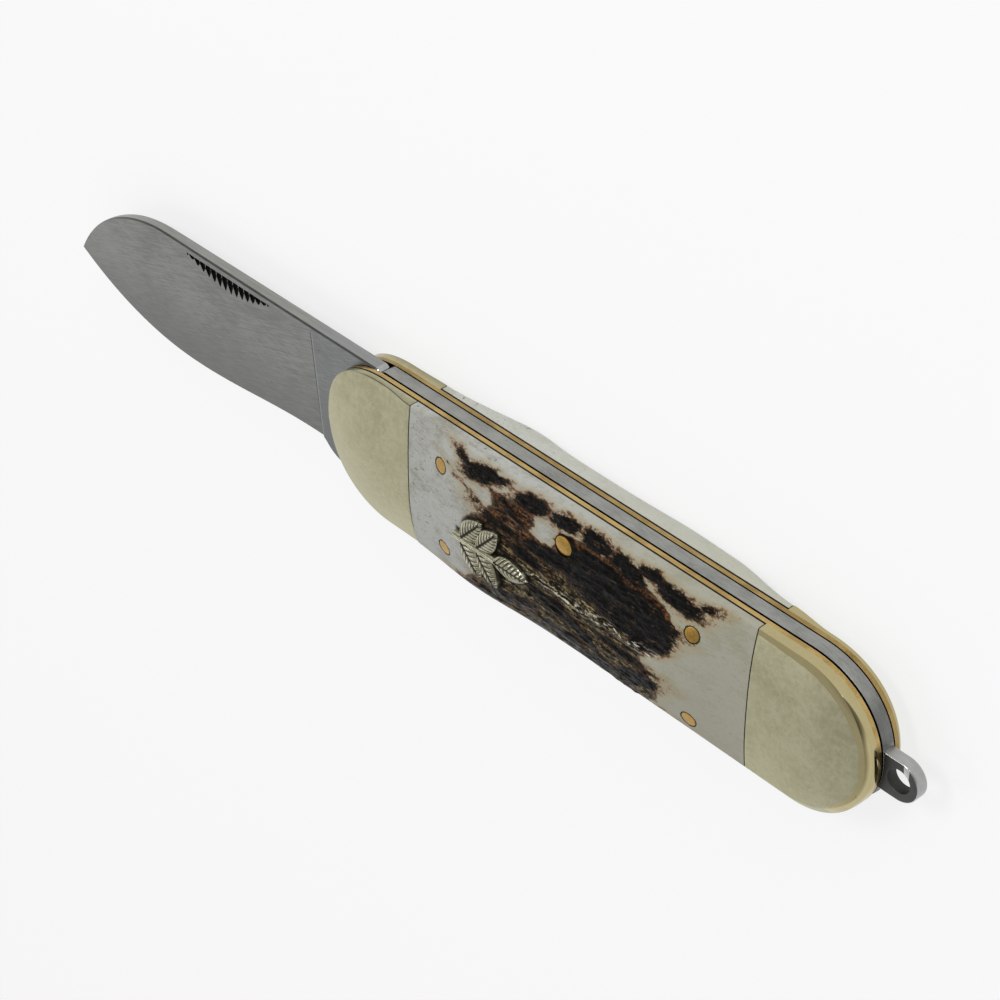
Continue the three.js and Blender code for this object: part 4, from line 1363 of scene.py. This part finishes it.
# %% [markdown]
# Nail pull
#
# The pull is a fan of grooves struck with a chisel, long in the middle and short at both ends, below
# one straight line, with a dot at each end. One cutter is skinned for each groove, because each has
# its own length, and a single Boolean cuts them all.

# %% Nail pull
PULL_STROKES = 14
PULL_START = PIVOT_X - 24.8
PULL_LENGTH = 15.1
PULL_TOP = -BLADE_DEPTH - 0.9
STROKE_LENGTH = 2.3
STROKE_WIDTH = 1.3
STROKE_DEPTH = 0.3
DOT_GAP = 0.95
DOT_SIZE = 0.4
STROKE_LID = 0.3


def stroke(x, length, width):
    """A groove with a steep top wall and sides that draw in to a point."""
    rings = []
    for share in (0, 0.2, 0.45, 0.7, 0.88, 1):
        y = PULL_TOP - length * share
        narrow = max(1 - share ** 2.2, 0.06)
        half = width / 2 * narrow
        surface = float(half_thickness(np.array(x), np.array(y)))
        depth = STROKE_DEPTH * max(1 - share ** 1.6, 0.05)
        section = [(-half * 1.05, surface + STROKE_LID), (half * 1.05, surface + STROKE_LID), (half, surface),
                   (half * 0.35, surface - depth), (-half * 0.35, surface - depth), (-half, surface)]
        rings.append([(x + dx, y, z) for dx, z in section])
    return skin("stroke", rings)


strokes = [stroke(x, DOT_SIZE, DOT_SIZE) for x in (PULL_START + DOT_GAP, PULL_START - PULL_LENGTH - DOT_GAP)]
for i in range(PULL_STROKES):
    share = (i + 0.9) / (PULL_STROKES + 0.8)
    x = PULL_START - PULL_LENGTH * i / (PULL_STROKES - 1)
    strokes.append(stroke(x, STROKE_LENGTH * math.sin(math.pi * share) ** 0.8, STROKE_WIDTH))
apply_boolean(blade, join_tools(strokes), "DIFFERENCE")


def struck(middles):
    """Faces that lie below the ground surface, inside the pull."""
    x, y, z = middles.T
    along = (x < PULL_START + 2) & (x > PULL_START - PULL_LENGTH - 2)
    inside = along & (y < PULL_TOP + 0.05) & (y > PULL_TOP - 3)
    return np.where(inside & (z > 0) & (z < half_thickness(x, y) - 0.01), 1.0, 0.0)


def on_back(middles):
    """Faces of the flat back, between its two chamfers."""
    x, y, z = middles.T
    return np.where((y > blade_spine_y(x) - 0.04) & (x < SHOULDER_X - SHOULDER_ROUND), 1.0, 0.0)


def on_chamfer(middles):
    """Faces of the chamfers beside the back, in front of the tang's shoulder."""
    x, y, z = middles.T
    depth = blade_spine_y(x) - y
    beside_back = (depth > 0.04) & (depth < 0.8 * SPINE_CHAMFER)
    return np.where(beside_back & (x < SHOULDER_X - SHOULDER_ROUND), 0.75, 0.0)


def on_shoulder(middles):
    """Faces of the tang's rounded shoulder, which the buffing wheel polished and the finish paints lighter as
    a highlight.
    """
    x, y, z = middles.T
    rounded = (x > SHOULDER_X - SHOULDER_ROUND) & (x < SHOULDER_X + 0.1)
    return np.where(rounded & (y > -BLADE_DEPTH - 1.1 * SHOULDER_ROUND), 1.0, 0.0)


face_mask(blade, "struck", struck)
face_mask(blade, "back", on_back)
face_mask(blade, "chamfer", on_chamfer)
face_mask(blade, "buffed_sheen", on_shoulder)
plunge_line = (PLUNGE_TOP_X, PLUNGE_BOTTOM_X, -BLADE_DEPTH, -BLADE_DEPTH - HEEL_WIDTH)
blade_steel = make_blade_steel(plunge_line, BLADE_WIDTH)
settle(blade, "blade_ground", blade_steel, ["blade"], body="blade", angle=18)

# %% [markdown]
# Stag scales
#
# The scales are pressed sheets too, but dense ones, because the bark is carved into them. A listed
# outline says where the bark is. Noise frays that outline, and more noise, stretched along the
# antler, raises the ridges and sinks the furrows.

# %% Where the bark is
# The tan ground under the bark, as an outline
TAN_GROUND = {
    "mark": [
        (16.0, -3.2), (20, -2.6), (23.2, -3.0), (22.8, -5.6),
        (26.6, -5.8), (27.8, -3.2), (31, -2.6), (36, -2.2),
        (42.5, -3.2), (44.8, -3.8), (46.6, -5.6), (46.4, -8), (44.3, -10.2), (42.3, -11.4), (41.8, -12.8),
        (42.8, -14), (43.8, -16), (44.4, -17.4), (42.4, -19.5), (41.5, -22.5), (9, -22.5), (12.8, -18),
        (13.2, -15), (12.2, -12), (12.4, -9), (15, -6.8), (16.6, -5.2),
    ],
    "pile": [
        (14, -6), (22, -4), (30, -5), (38, -3.5), (46, -6),
        (43, -9), (47, -12), (42, -15), (34, -17.5), (25, -16),
        (19, -17), (12, -13), (16, -10),
    ],
}

# Dark blotches: x, y, half length, half width and tilt in degrees
BLOTCHES = {
    "mark": [
        (11.3, -1.5, 1.9, 0.55, -22), (14.0, -2.0, 3.0, 1.1, 14), (17.0, -1.4, 1.5, 0.5, 6),
        (22.6, -1.8, 2.8, 1.2, 14), (28.3, -1.3, 2.3, 1.0, 12), (33.4, -1.3, 2.4, 1.25, 0),
        (38.4, -2.1, 2.9, 1.35, -8), (42.0, -1.0, 2.0, 0.8, 0),
        (46.3, -1.9, 3.6, 1.2, -4), (50.4, -1.0, 1.3, 0.35, 14),
        (18.7, -3.9, 1.9, 0.45, -18), (20.6, -5.0, 2.0, 0.4, -14),
        (29.2, -4.6, 2.0, 1.9, 0), (34.5, -4.6, 4.5, 1.7, -3),
        (26.5, -7.0, 4.4, 1.2, 4), (34.0, -7.2, 6.0, 2.5, -2),
        (41.0, -6.4, 6.0, 2.6, -4), (44.0, -5.3, 3.2, 0.75, -10),
        (43.0, -9.0, 3.8, 1.8, 22), (37.5, -9.2, 4.5, 1.3, -4),
        (22.6, -9.3, 3.4, 0.8, -6), (17.5, -7.2, 3.6, 0.7, -8),
        (13.4, -5.9, 0.9, 0.32, -12), (11.9, -4.9, 0.7, 0.1, -20),
        (27.2, -14.0, 4.3, 1.15, -10), (32.0, -15.6, 3.0, 1.0, -26), (37.8, -13.8, 5.2, 0.75, -2),
        (41.0, -16.4, 3.8, 1.35, 18), (35.5, -18.4, 5.5, 1.0, 8), (18.4, -18.4, 4.2, 0.9, 10),
        (21.8, -16.9, 2.8, 0.7, 6), (27.4, -18.2, 4.6, 1.2, 6),
        (31.0, -20.6, 11.0, 1.0, 2), (14.0, -20.9, 4.5, 0.8, 4),
    ],
    "pile": [
        (19, -7, 5, 1.4, 6), (30, -6.5, 6, 1.6, -4), (41, -6.5, 5, 1.5, 5),
        (20, -11, 7, 1.8, -3), (34, -11, 8, 2.4, 2),
        (24, -14.5, 5, 1.2, 4), (36, -15, 5, 1.4, -6), (44, -11.5, 3, 1.3, 10),
    ],
}


def outline_distance(x, y, outline):
    """Distance to a closed outline, positive inside."""
    points = np.array(outline, float)
    best = np.full(x.shape, 1e9)
    inside = np.zeros(x.shape, bool)
    for (ax, ay), (bx, by) in zip(points, np.roll(points, -1, 0)):
        dx, dy = bx - ax, by - ay
        t = np.clip(((x - ax) * dx + (y - ay) * dy) / (dx * dx + dy * dy), 0, 1)
        best = np.minimum(best, np.hypot(x - ax - t * dx, y - ay - t * dy))
        crosses = (ay > y) != (by > y)
        edge_x = ax + (y - ay) * dx / (dy if dy else 1e-9)
        inside ^= crosses & (x < edge_x)
    return np.where(inside, best, -best)


def blotch_depth(x, y, blotches):
    """How deep in the nearest dark blotch a point lies, about in millimetres."""
    best = np.full(x.shape, -3.0)
    for middle_x, middle_y, length, width, tilt in blotches:
        turn = math.radians(tilt)
        along = (x - middle_x) * math.cos(turn) + (y - middle_y) * math.sin(turn)
        across = (y - middle_y) * math.cos(turn) - (x - middle_x) * math.sin(turn)
        best = np.maximum(best, width * (1 - np.hypot(along / length, across / width)))
    return best


def noise_at(x, y, scale_x, scale_y, seed, octaves=3):
    """Fractal noise between about -1 and 1, at a size in millimetres along and across."""
    values = [noise.fractal(Vector((a / scale_x, b / scale_y, seed)), 0.9, 2.1, octaves)
              for a, b in zip(x.ravel(), y.ravel())]
    return np.array(values).reshape(x.shape)


def bark_fields(name, x, y):
    """How deep a point lies in the dark crust, and in the tan ground round it."""
    seed = {"mark": 3.1, "pile": 8.7}[name]
    wide = noise_at(x, y, 2.6, 1.2, seed, 3)
    small = noise_at(x, y, 0.8, 0.42, seed + 5, 2)
    crust = blotch_depth(x, y, BLOTCHES[name]) + 0.22 * wide + 0.12 * small
    tan = outline_distance(x, y, TAN_GROUND[name]) + 0.45 * wide + 0.2 * small
    return np.clip(crust, -3, 3), np.clip(tan, -3, 3)


print("blotches on each side:", {name: len(row) for name, row in BLOTCHES.items()})


# A crest runs along the middle of the mark scale
CREST_START = 21.5
CREST_END = 46.0
CREST_Y = -11.2
CREST_WIDTH = 0.6
CREST_HEIGHT = 0.26


def crest_at(name, x, y):
    """1 on the line of the crest, falling to 0 beside it. The pile side has none."""
    if name == "pile":
        return np.zeros_like(x)
    wander = 0.7 * noise_at(x, y * 0, 6.0, 1.0, 19.4, 2)
    along = smooth((x - CREST_START) / 3) * smooth((CREST_END - x) / 3)
    return along * np.exp(-(((y - CREST_Y - wander) / CREST_WIDTH) ** 2))


def carving(name, x, y, crust, tan):
    """Relief of the bark: ridges along the antler, grit, and edges of crust that stand up a little."""
    seed = {"mark": 12.4, "pile": 17.9}[name]
    barked = smooth((np.maximum(crust, tan) + 0.2) / 0.8)
    ridges = np.abs(noise_at(x, y, 6.5, 1.1, seed, 3))
    grit = noise_at(x, y, 0.9, 0.42, seed + 3, 2)
    steps = smooth((crust + 0.1) / 0.35)
    crest = CREST_HEIGHT * crest_at(name, x, y)
    return barked * (0.02 - 0.28 * ridges + 0.08 * grit + 0.09 * steps + crest)

# %% [markdown]
# The badge is a sprig of five leaves. Its plan is needed here already, because a painted shadow darkens
# the stag in a ring round it, and round every pin.

# %% Plan of the badge
BADGE_X = 10.3
BADGE_Y = -12.6
STEM_LENGTH = 7.4
STEM_WIDTH = 0.95
LEAF_LENGTH = 5.6
LEAF_WIDTH = 3.1
LEAF_ANGLE = 0.85
LEAVES = [(BADGE_X + STEM_LENGTH - 0.6, BADGE_Y, 0.0, LEAF_LENGTH * 1.1)] + [
    (BADGE_X + 1.2 + i * (STEM_LENGTH - 1.8) / 2, BADGE_Y, way * LEAF_ANGLE, LEAF_LENGTH)
    for i in range(2) for way in (1, -1)]
BADGE_SHADOW = 0.55
PIN_SHADOW = 0.03
print("leaves on the sprig:", len(LEAVES))


def leaf_place(leaf, along, across):
    """From a leaf's own directions to the knife's."""
    x, y, angle, _ = leaf
    cosine, sine = math.cos(angle), math.sin(angle)
    return x + along * cosine - across * sine, y + along * sine + across * cosine


def leaf_curve(leaf, u):
    """Distance along a leaf and its half width there. u runs from 0 at its foot to 1 at its tip."""
    return leaf[3] * (0.8 * u + 0.2 * u ** 2), 1.96 * (1 - u) * u * LEAF_WIDTH


def badge_distance(x, y):
    """Distance to the sprig's leaves and stem, near enough for a painted shadow."""
    shares = np.linspace(0, 1, 40)
    spots = [np.column_stack(leaf_place(leaf, leaf_curve(leaf, shares)[0], way * leaf_curve(leaf, shares)[1]))
             for leaf in LEAVES for way in (-1, -0.5, 0, 0.5, 1)]
    stem_x = BADGE_X + STEM_LENGTH * shares
    stem_spots = [np.column_stack([stem_x, np.full(40, BADGE_Y + way * STEM_WIDTH / 2)]) for way in (-1, 1)]
    best = np.full(x.shape, 9.0)
    near = (x > BADGE_X - 1.5) & (x < BADGE_X + 15) & (np.abs(y - BADGE_Y) < 7)
    for spot_x, spot_y in np.concatenate(spots + stem_spots):
        best[near] = np.minimum(best[near], np.hypot(x[near] - spot_x, y[near] - spot_y))
    return best


def dark_rings(name, x, y):
    """Painted shadow round the pins and, on the mark side, round the badge, and dark joints at both ends."""
    rings = np.zeros(x.shape)
    for radius, (pin_x, pin_y) in PIN_HOLES + [(CENTER_HEAD, CENTER_PLACE)]:
        rings = np.maximum(rings, np.hypot(x - pin_x, y - pin_y) < radius + CLEARANCE + PIN_SHADOW)
    if name == "mark":
        rings = np.maximum(rings, 0.95 * (1 - smooth((badge_distance(x, y) - 0.12) / BADGE_SHADOW)))
    at_joint = np.minimum(x, SCALE_LENGTH - x) < SEAM / 2 + 0.02
    return np.maximum(rings, at_joint)

# %% Scales


def stations(length, step, edge_steps):
    """Distances from 0 to length, close together at both ends."""
    start = np.array(edge_steps)
    count = int(round((length - 2 * start[-1]) / step))
    middle = np.linspace(start[-1], length - start[-1], count + 1)[1:-1]
    return np.concatenate([start, middle, length - start[::-1]])


def scale_surface(name, step):
    x_line = SEAM / 2 + stations(SCALE_LENGTH - SEAM, step, [0, 0.03, 0.07, 0.12, 0.2])
    y_line = -stations(HANDLE_HEIGHT, step, [0, 0.02, 0.05, 0.09, 0.15, 0.26])
    x, y = np.meshgrid(x_line, y_line)
    crust, tan = bark_fields(name, x, y)
    inside = np.minimum(-y, y + HANDLE_HEIGHT)
    joint = np.minimum(x - SEAM / 2, SCALE_LENGTH - SEAM / 2 - x)
    calm = smooth(joint / 1.5) * smooth(inside / 1.2)
    z = scale_face(name, x, y) + carving(name, x, y, crust, tan) * calm
    z = z - roll(inside, 0.15) - roll(joint, JOINT_ROLL)
    if name == "pile":
        z = np.minimum(z, REST_HEIGHT)
    return np.stack([x, y, SIDES[name] * z], -1)


for name, side in SIDES.items():
    step = 0.165 if name == "mark" else 0.3
    scale = pressed_sheet("scale", scale_surface(name, step), side * LINER_OUT)
    drill(scale, PIN_HOLES + [(CENTER_HEAD, CENTER_PLACE)], -9, 9)
    place = points_of(scale)
    crust, tan = bark_fields(name, place[:, 0], place[:, 1])
    wall = np.abs(place[:, 2]) < scale_face(name, place[:, 0], place[:, 1]) - 0.6
    point_mask(scale, "crust", np.where(wall, -3.0, crust))
    point_mask(scale, "tan", np.where(wall, -3.0, tan))
    point_mask(scale, "patina_and_shadow", dark_rings(name, place[:, 0], place[:, 1]))
    point_mask(scale, "crest", crest_at(name, place[:, 0], place[:, 1]))
    stag_finish = mark_stag if name == "mark" else pile_stag
    settle(scale, f"{name}_scale_carved", stag_finish, [f"{name}_scale"], angle=40)

# %% [markdown]
# Pins
#
# Pins are driven in, peened and filed with the scales, so their heads follow the crown, a hair proud.
# Each is a cylinder whose top is inset into rings and pressed on the same crown formula.

# %% Pins


def headed_pin(radius, place, side, bottom, face, proud, edge_drop, sides=48):
    """A cylinder with a head of rings, pressed on a face and slightly domed."""
    x0, y0 = place
    top = 9.0
    piece = rod("pin", radius, x0, y0, bottom, top, sides)
    edit_only(piece, "polygons", lambda part: part.normal.z > 0.9)
    for part in (0.06, 0.12, 0.2, 0.25, 0.25):
        bpy.ops.mesh.inset(thickness=radius * part * MM, depth=0)
    done_editing()
    points = points_of(piece)
    head = points[:, 2] > top - 0.01
    out = np.hypot(points[:, 0] - x0, points[:, 1] - y0) / radius
    domed = face(points[:, 0], points[:, 1]) + proud * (1 - out ** 2)
    pressed = domed - edge_drop * np.clip((out - 0.9) / 0.1, 0, 1) ** 2
    points[:, 2] = np.where(head, pressed, points[:, 2])
    points[:, 2] *= side
    move_points(piece, points)
    close_up(piece, 0.00005)
    # Painted shade on the pin's side, which shows as a thin dark ring round its head.
    face_mask(piece, "painted_shade",
              lambda middles: np.hypot(middles[:, 0] - x0, middles[:, 1] - y0) > radius * 0.95)
    return piece


for name, side in SIDES.items():
    for label, place in PIN_PLACES.items():
        pin = headed_pin(PIN_RADIUS, place, side, LINER_IN, lambda x, y: scale_face(name, x, y) - 0.01,
                         0.03, 0.04)
        settle(pin, f"{name}_pin_{label}_peened", pin_brass, [f"{name}_pin_{label}"])

center_x = np.array(CENTER_PLACE[0])
center_y = np.array(CENTER_PLACE[1])
mark_level = float(scale_face("mark", center_x, center_y))
head = headed_pin(CENTER_HEAD, CENTER_PLACE, 1, LINER_OUT, lambda x, y: np.full_like(x, mark_level + 0.02),
                  0.16, 0.1, 64)
other_head = headed_pin(CENTER_HEAD, CENTER_PLACE, -1, LINER_OUT,
                        lambda x, y: scale_face("pile", x, y) - 0.06, 0.01, 0.05, 64)
shank = rod("shank", CENTER_SHANK, *CENTER_PLACE, -LINER_OUT - 0.3, LINER_OUT + 0.3)
apply_boolean(head, other_head, "UNION")
apply_boolean(head, shank, "UNION")
settle(head, "center_pin_peened", pin_brass, ["center_pin"])

# %% [markdown]
# Badge
#
# The badge is a small sprig cast in nickel silver and pinned into a bed in the stag. Each leaf is a
# sheet pressed to a domed leaf shape, with its veins engraved, and all leaves are joined to the stem.

# %% Badge
BADGE_FLOOR = LINER_OUT + SCALE_CROWN - 0.55
BADGE_TOP = BADGE_FLOOR + 1.35
VEIN_GAP = 0.7
VEIN_DEPTH = 0.13
MIDDLE_DEPTH = 0.2


def engraving(u, v, along, across):
    """Depth of the cut veins: one down the middle, and slanting ones on both sides."""
    middle = MIDDLE_DEPTH * np.exp(-(across / 0.14) ** 2) * smooth((0.96 - u) / 0.1)
    ribs = 0.5 + 0.5 * np.cos(2 * math.pi * (along - 0.75 * np.abs(across)) / VEIN_GAP)
    return middle + VEIN_DEPTH * ribs ** 5 * smooth(np.abs(v) / 0.15) * smooth((1 - np.abs(v)) / 0.25)


def leaf_top(u, v, along, across):
    dome = 1 - 0.5 * np.abs(v) ** 2.4
    blunt = smooth(np.minimum(u, 1 - u) / 0.12)
    smooth_top = BADGE_FLOOR + 0.45 + (BADGE_TOP - BADGE_FLOOR - 0.5) * dome * (0.45 + 0.55 * blunt)
    return smooth_top - engraving(u, v, along, across)


def cast_leaf(leaf, columns=71, rows=41):
    """A pointed, domed leaf with its veins cut in."""
    u, v = np.meshgrid(np.linspace(0, 1, columns), np.linspace(-1, 1, rows))
    along, half = leaf_curve(leaf, u)
    across = v * half
    x, y = leaf_place(leaf, along, across)
    return pressed_sheet("leaf", np.stack([x, y, leaf_top(u, v, along, across)], -1), BADGE_FLOOR)


def badge_patina_and_shadow(place):
    """Dark patina in the veins, and painted shadow low down on the walls, where the badge stands in its bed.
    """
    stained = np.clip((BADGE_FLOOR + 0.95 - place[:, 2]) / 0.2, 0, 1)
    for leaf in LEAVES:
        x, y, angle, length = leaf
        along = (place[:, 0] - x) * math.cos(angle) + (place[:, 1] - y) * math.sin(angle)
        across = (place[:, 1] - y) * math.cos(angle) - (place[:, 0] - x) * math.sin(angle)
        u = (np.sqrt(np.maximum(0.64 + 0.8 * along / length, 0)) - 0.8) / 0.4
        half = np.maximum(leaf_curve(leaf, u)[1], 0.05)
        v = across / half
        on_leaf = (u > 0.02) & (u < 0.98) & (np.abs(v) < 0.97)
        level = leaf_top(np.clip(u, 0, 1), np.clip(v, -1, 1), along, across)
        on_leaf &= np.abs(place[:, 2] - level) < 0.03
        cut = np.clip(engraving(u, v, along, across) / 0.1, 0, 1)
        stained = np.maximum(stained, np.where(on_leaf, cut, 0))
    return 0.9 * stained


badge = cast_leaf(LEAVES[0])
stem_x, stem_v = np.meshgrid(np.linspace(0, STEM_LENGTH, 40), np.linspace(-1, 1, 13))
stem_z = BADGE_FLOOR + 0.75 + 0.55 * np.sqrt(1 - 0.85 * stem_v ** 2)
stem_surface = np.stack([BADGE_X + stem_x, BADGE_Y + stem_v * STEM_WIDTH / 2, stem_z], -1)
stem = pressed_sheet("stem", stem_surface, BADGE_FLOOR)
for part in [cast_leaf(leaf) for leaf in LEAVES[1:]] + [stem]:
    apply_boolean(badge, part, "UNION")
point_mask(badge, "patina_and_shadow", badge_patina_and_shadow(points_of(badge)))
settle(badge, "badge_cast", badge_silver, ["badge"], angle=35)

# %% [markdown]
# Hidden pins
#
# The pivot pin, the rear spring pin and the two pins under the badge can't be seen, so their solids
# stay as they are and only get their finish.

# %% Finish of the hidden pins
for hidden in ("pivot_pin", "rear_spring_pin", "badge_pin_front", "badge_pin_rear"):
    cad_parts[hidden].data.materials.clear()
    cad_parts[hidden].data.materials.append(badge_silver)
    print("finished:", hidden)

# %% [markdown]
# Floor, light and camera
#
# A plain white floor keeps a soft shadow. The world is white at the horizon, where the camera or a
# reflection sees it, and dimmer overhead, as in a studio with white walls under a high ceiling. One side
# is open, and what reflects it is darker, so that polished rolls and edges show some contrast. Soft
# lamps model the crowned faces, and a small one hangs overhead; the bark's glints are painted highlights.

# %% Floor and world
OPEN_SIDE = (0.58, 0.61, 0.54)


def seen_directly(tree):
    """1 for the camera, reflections and light through glass, 0 for soft light."""
    path = node(tree, "ShaderNodeLightPath")
    seen = largest(tree, path.outputs["Is Camera Ray"], path.outputs["Is Glossy Ray"])
    return largest(tree, seen, path.outputs["Is Transmission Ray"])


clear_selection()
bpy.ops.mesh.primitive_plane_add(size=6, location=(0, 0, -0.00002))
floor = bpy.context.object
floor.name = "studio_floor"
floor_material, floor_tree, floor_surface = new_tree("studio_floor")
floor_surface.inputs["Base Color"].default_value = (0.9, 0.9, 0.9, 1)
floor_surface.inputs["Roughness"].default_value = 0.9
floor_surface.inputs["Specular IOR Level"].default_value = 0.0
glow = node(floor_tree, "ShaderNodeEmission", Color=(1, 1, 1, 1), Strength=1.0)
share = times(floor_tree, seen_directly(floor_tree), 0.75)
mixed = node(floor_tree, "ShaderNodeMixShader", i0=share, i1=floor_surface.outputs[0], i2=glow.outputs[0])
floor_tree.links.new(mixed.outputs[0], floor_tree.nodes["Material Output"].inputs["Surface"])
floor.data.materials.append(floor_material)

world = bpy.data.worlds.new("studio")
bpy.context.scene.world = world
world.use_nodes = True
world_tree = world.node_tree
backdrop = world_tree.nodes["Background"]
from_camera = node(world_tree, "ShaderNodeLightPath").outputs["Is Camera Ray"]
direction = node(world_tree, "ShaderNodeTexCoord").outputs["Generated"]
skyward = node(world_tree, "ShaderNodeSeparateXYZ", i0=direction).outputs[2]
backdrop_level = ramp_value(world_tree, skyward, 0.1, 0.75, 1.0, 0.4)
towards = node(world_tree, "ShaderNodeVectorMath", {"operation": "DOT_PRODUCT"}, i0=direction,
               i1=OPEN_SIDE).outputs[1]
open_side = ramp_value(world_tree, towards, 0.55, 0.9, 1.0, 0.25)
mirrored = times(world_tree, backdrop_level, open_side)
backdrop_level = blend_values(world_tree, from_camera, mirrored, backdrop_level)
strength = blend_values(world_tree, seen_directly(world_tree), 0.5, backdrop_level)
world_tree.links.new(strength, backdrop.inputs["Strength"])
backdrop.inputs["Color"].default_value = (1, 1, 1, 1)
print("nodes in the world:", len(world_tree.nodes))

# %% Lamps


def soft_lamp(name, direction, distance, size, power):
    """A square softbox that looks at the knife."""
    light = bpy.data.lights.new(name, "AREA")
    light.shape = "SQUARE"
    light.size = size
    light.energy = power
    lamp = bpy.data.objects.new(name, light)
    bpy.context.scene.collection.objects.link(lamp)
    aim = Vector(direction).normalized()
    lamp.location = aim * distance
    lamp.rotation_euler = aim.to_track_quat("Z", "Y").to_euler()
    return lamp


soft_lamp("key", (0.0, 0.66, 0.75), 0.8, 0.2, 1.8)
soft_lamp("back", (0.35, 0.93, 0.2), 1.0, 0.6, 3.0)
soft_lamp("sheen", (-0.575, -0.613, 0.542), 1.2, 1.3, 1.0)
soft_lamp("top", (-0.42, -0.09, 0.9), 0.8, 0.25, 0.5)
print("lamps:", [lamp.name for lamp in bpy.data.lights])

# %% [markdown]
# The camera stands where the photograph was taken, rolled so that the knife slopes down to the right.

# %% Camera
RIGHT = Vector((0.6836, 0.0035, -0.7299))
UP = Vector((-0.4494, 0.7901, -0.4170))
BACK = Vector((0.5752, 0.6130, 0.5417))
CAMERA_PLACE = Vector((0.16252, 0.19190, 0.17297))
camera_data = bpy.data.cameras.new("photo_view")
camera_data.sensor_width = 36
camera_data.lens = 91.805
camera_data.clip_start = 0.01
camera = bpy.data.objects.new("photo_view", camera_data)
bpy.context.scene.collection.objects.link(camera)
camera.matrix_world = Matrix((
    (RIGHT.x, UP.x, BACK.x, CAMERA_PLACE.x),
    (RIGHT.y, UP.y, BACK.y, CAMERA_PLACE.y),
    (RIGHT.z, UP.z, BACK.z, CAMERA_PLACE.z),
    (0, 0, 0, 1),
))
bpy.context.scene.camera = camera
bpy.context.scene.view_settings.view_transform = "Standard"
print("lens, mm:", camera_data.lens)
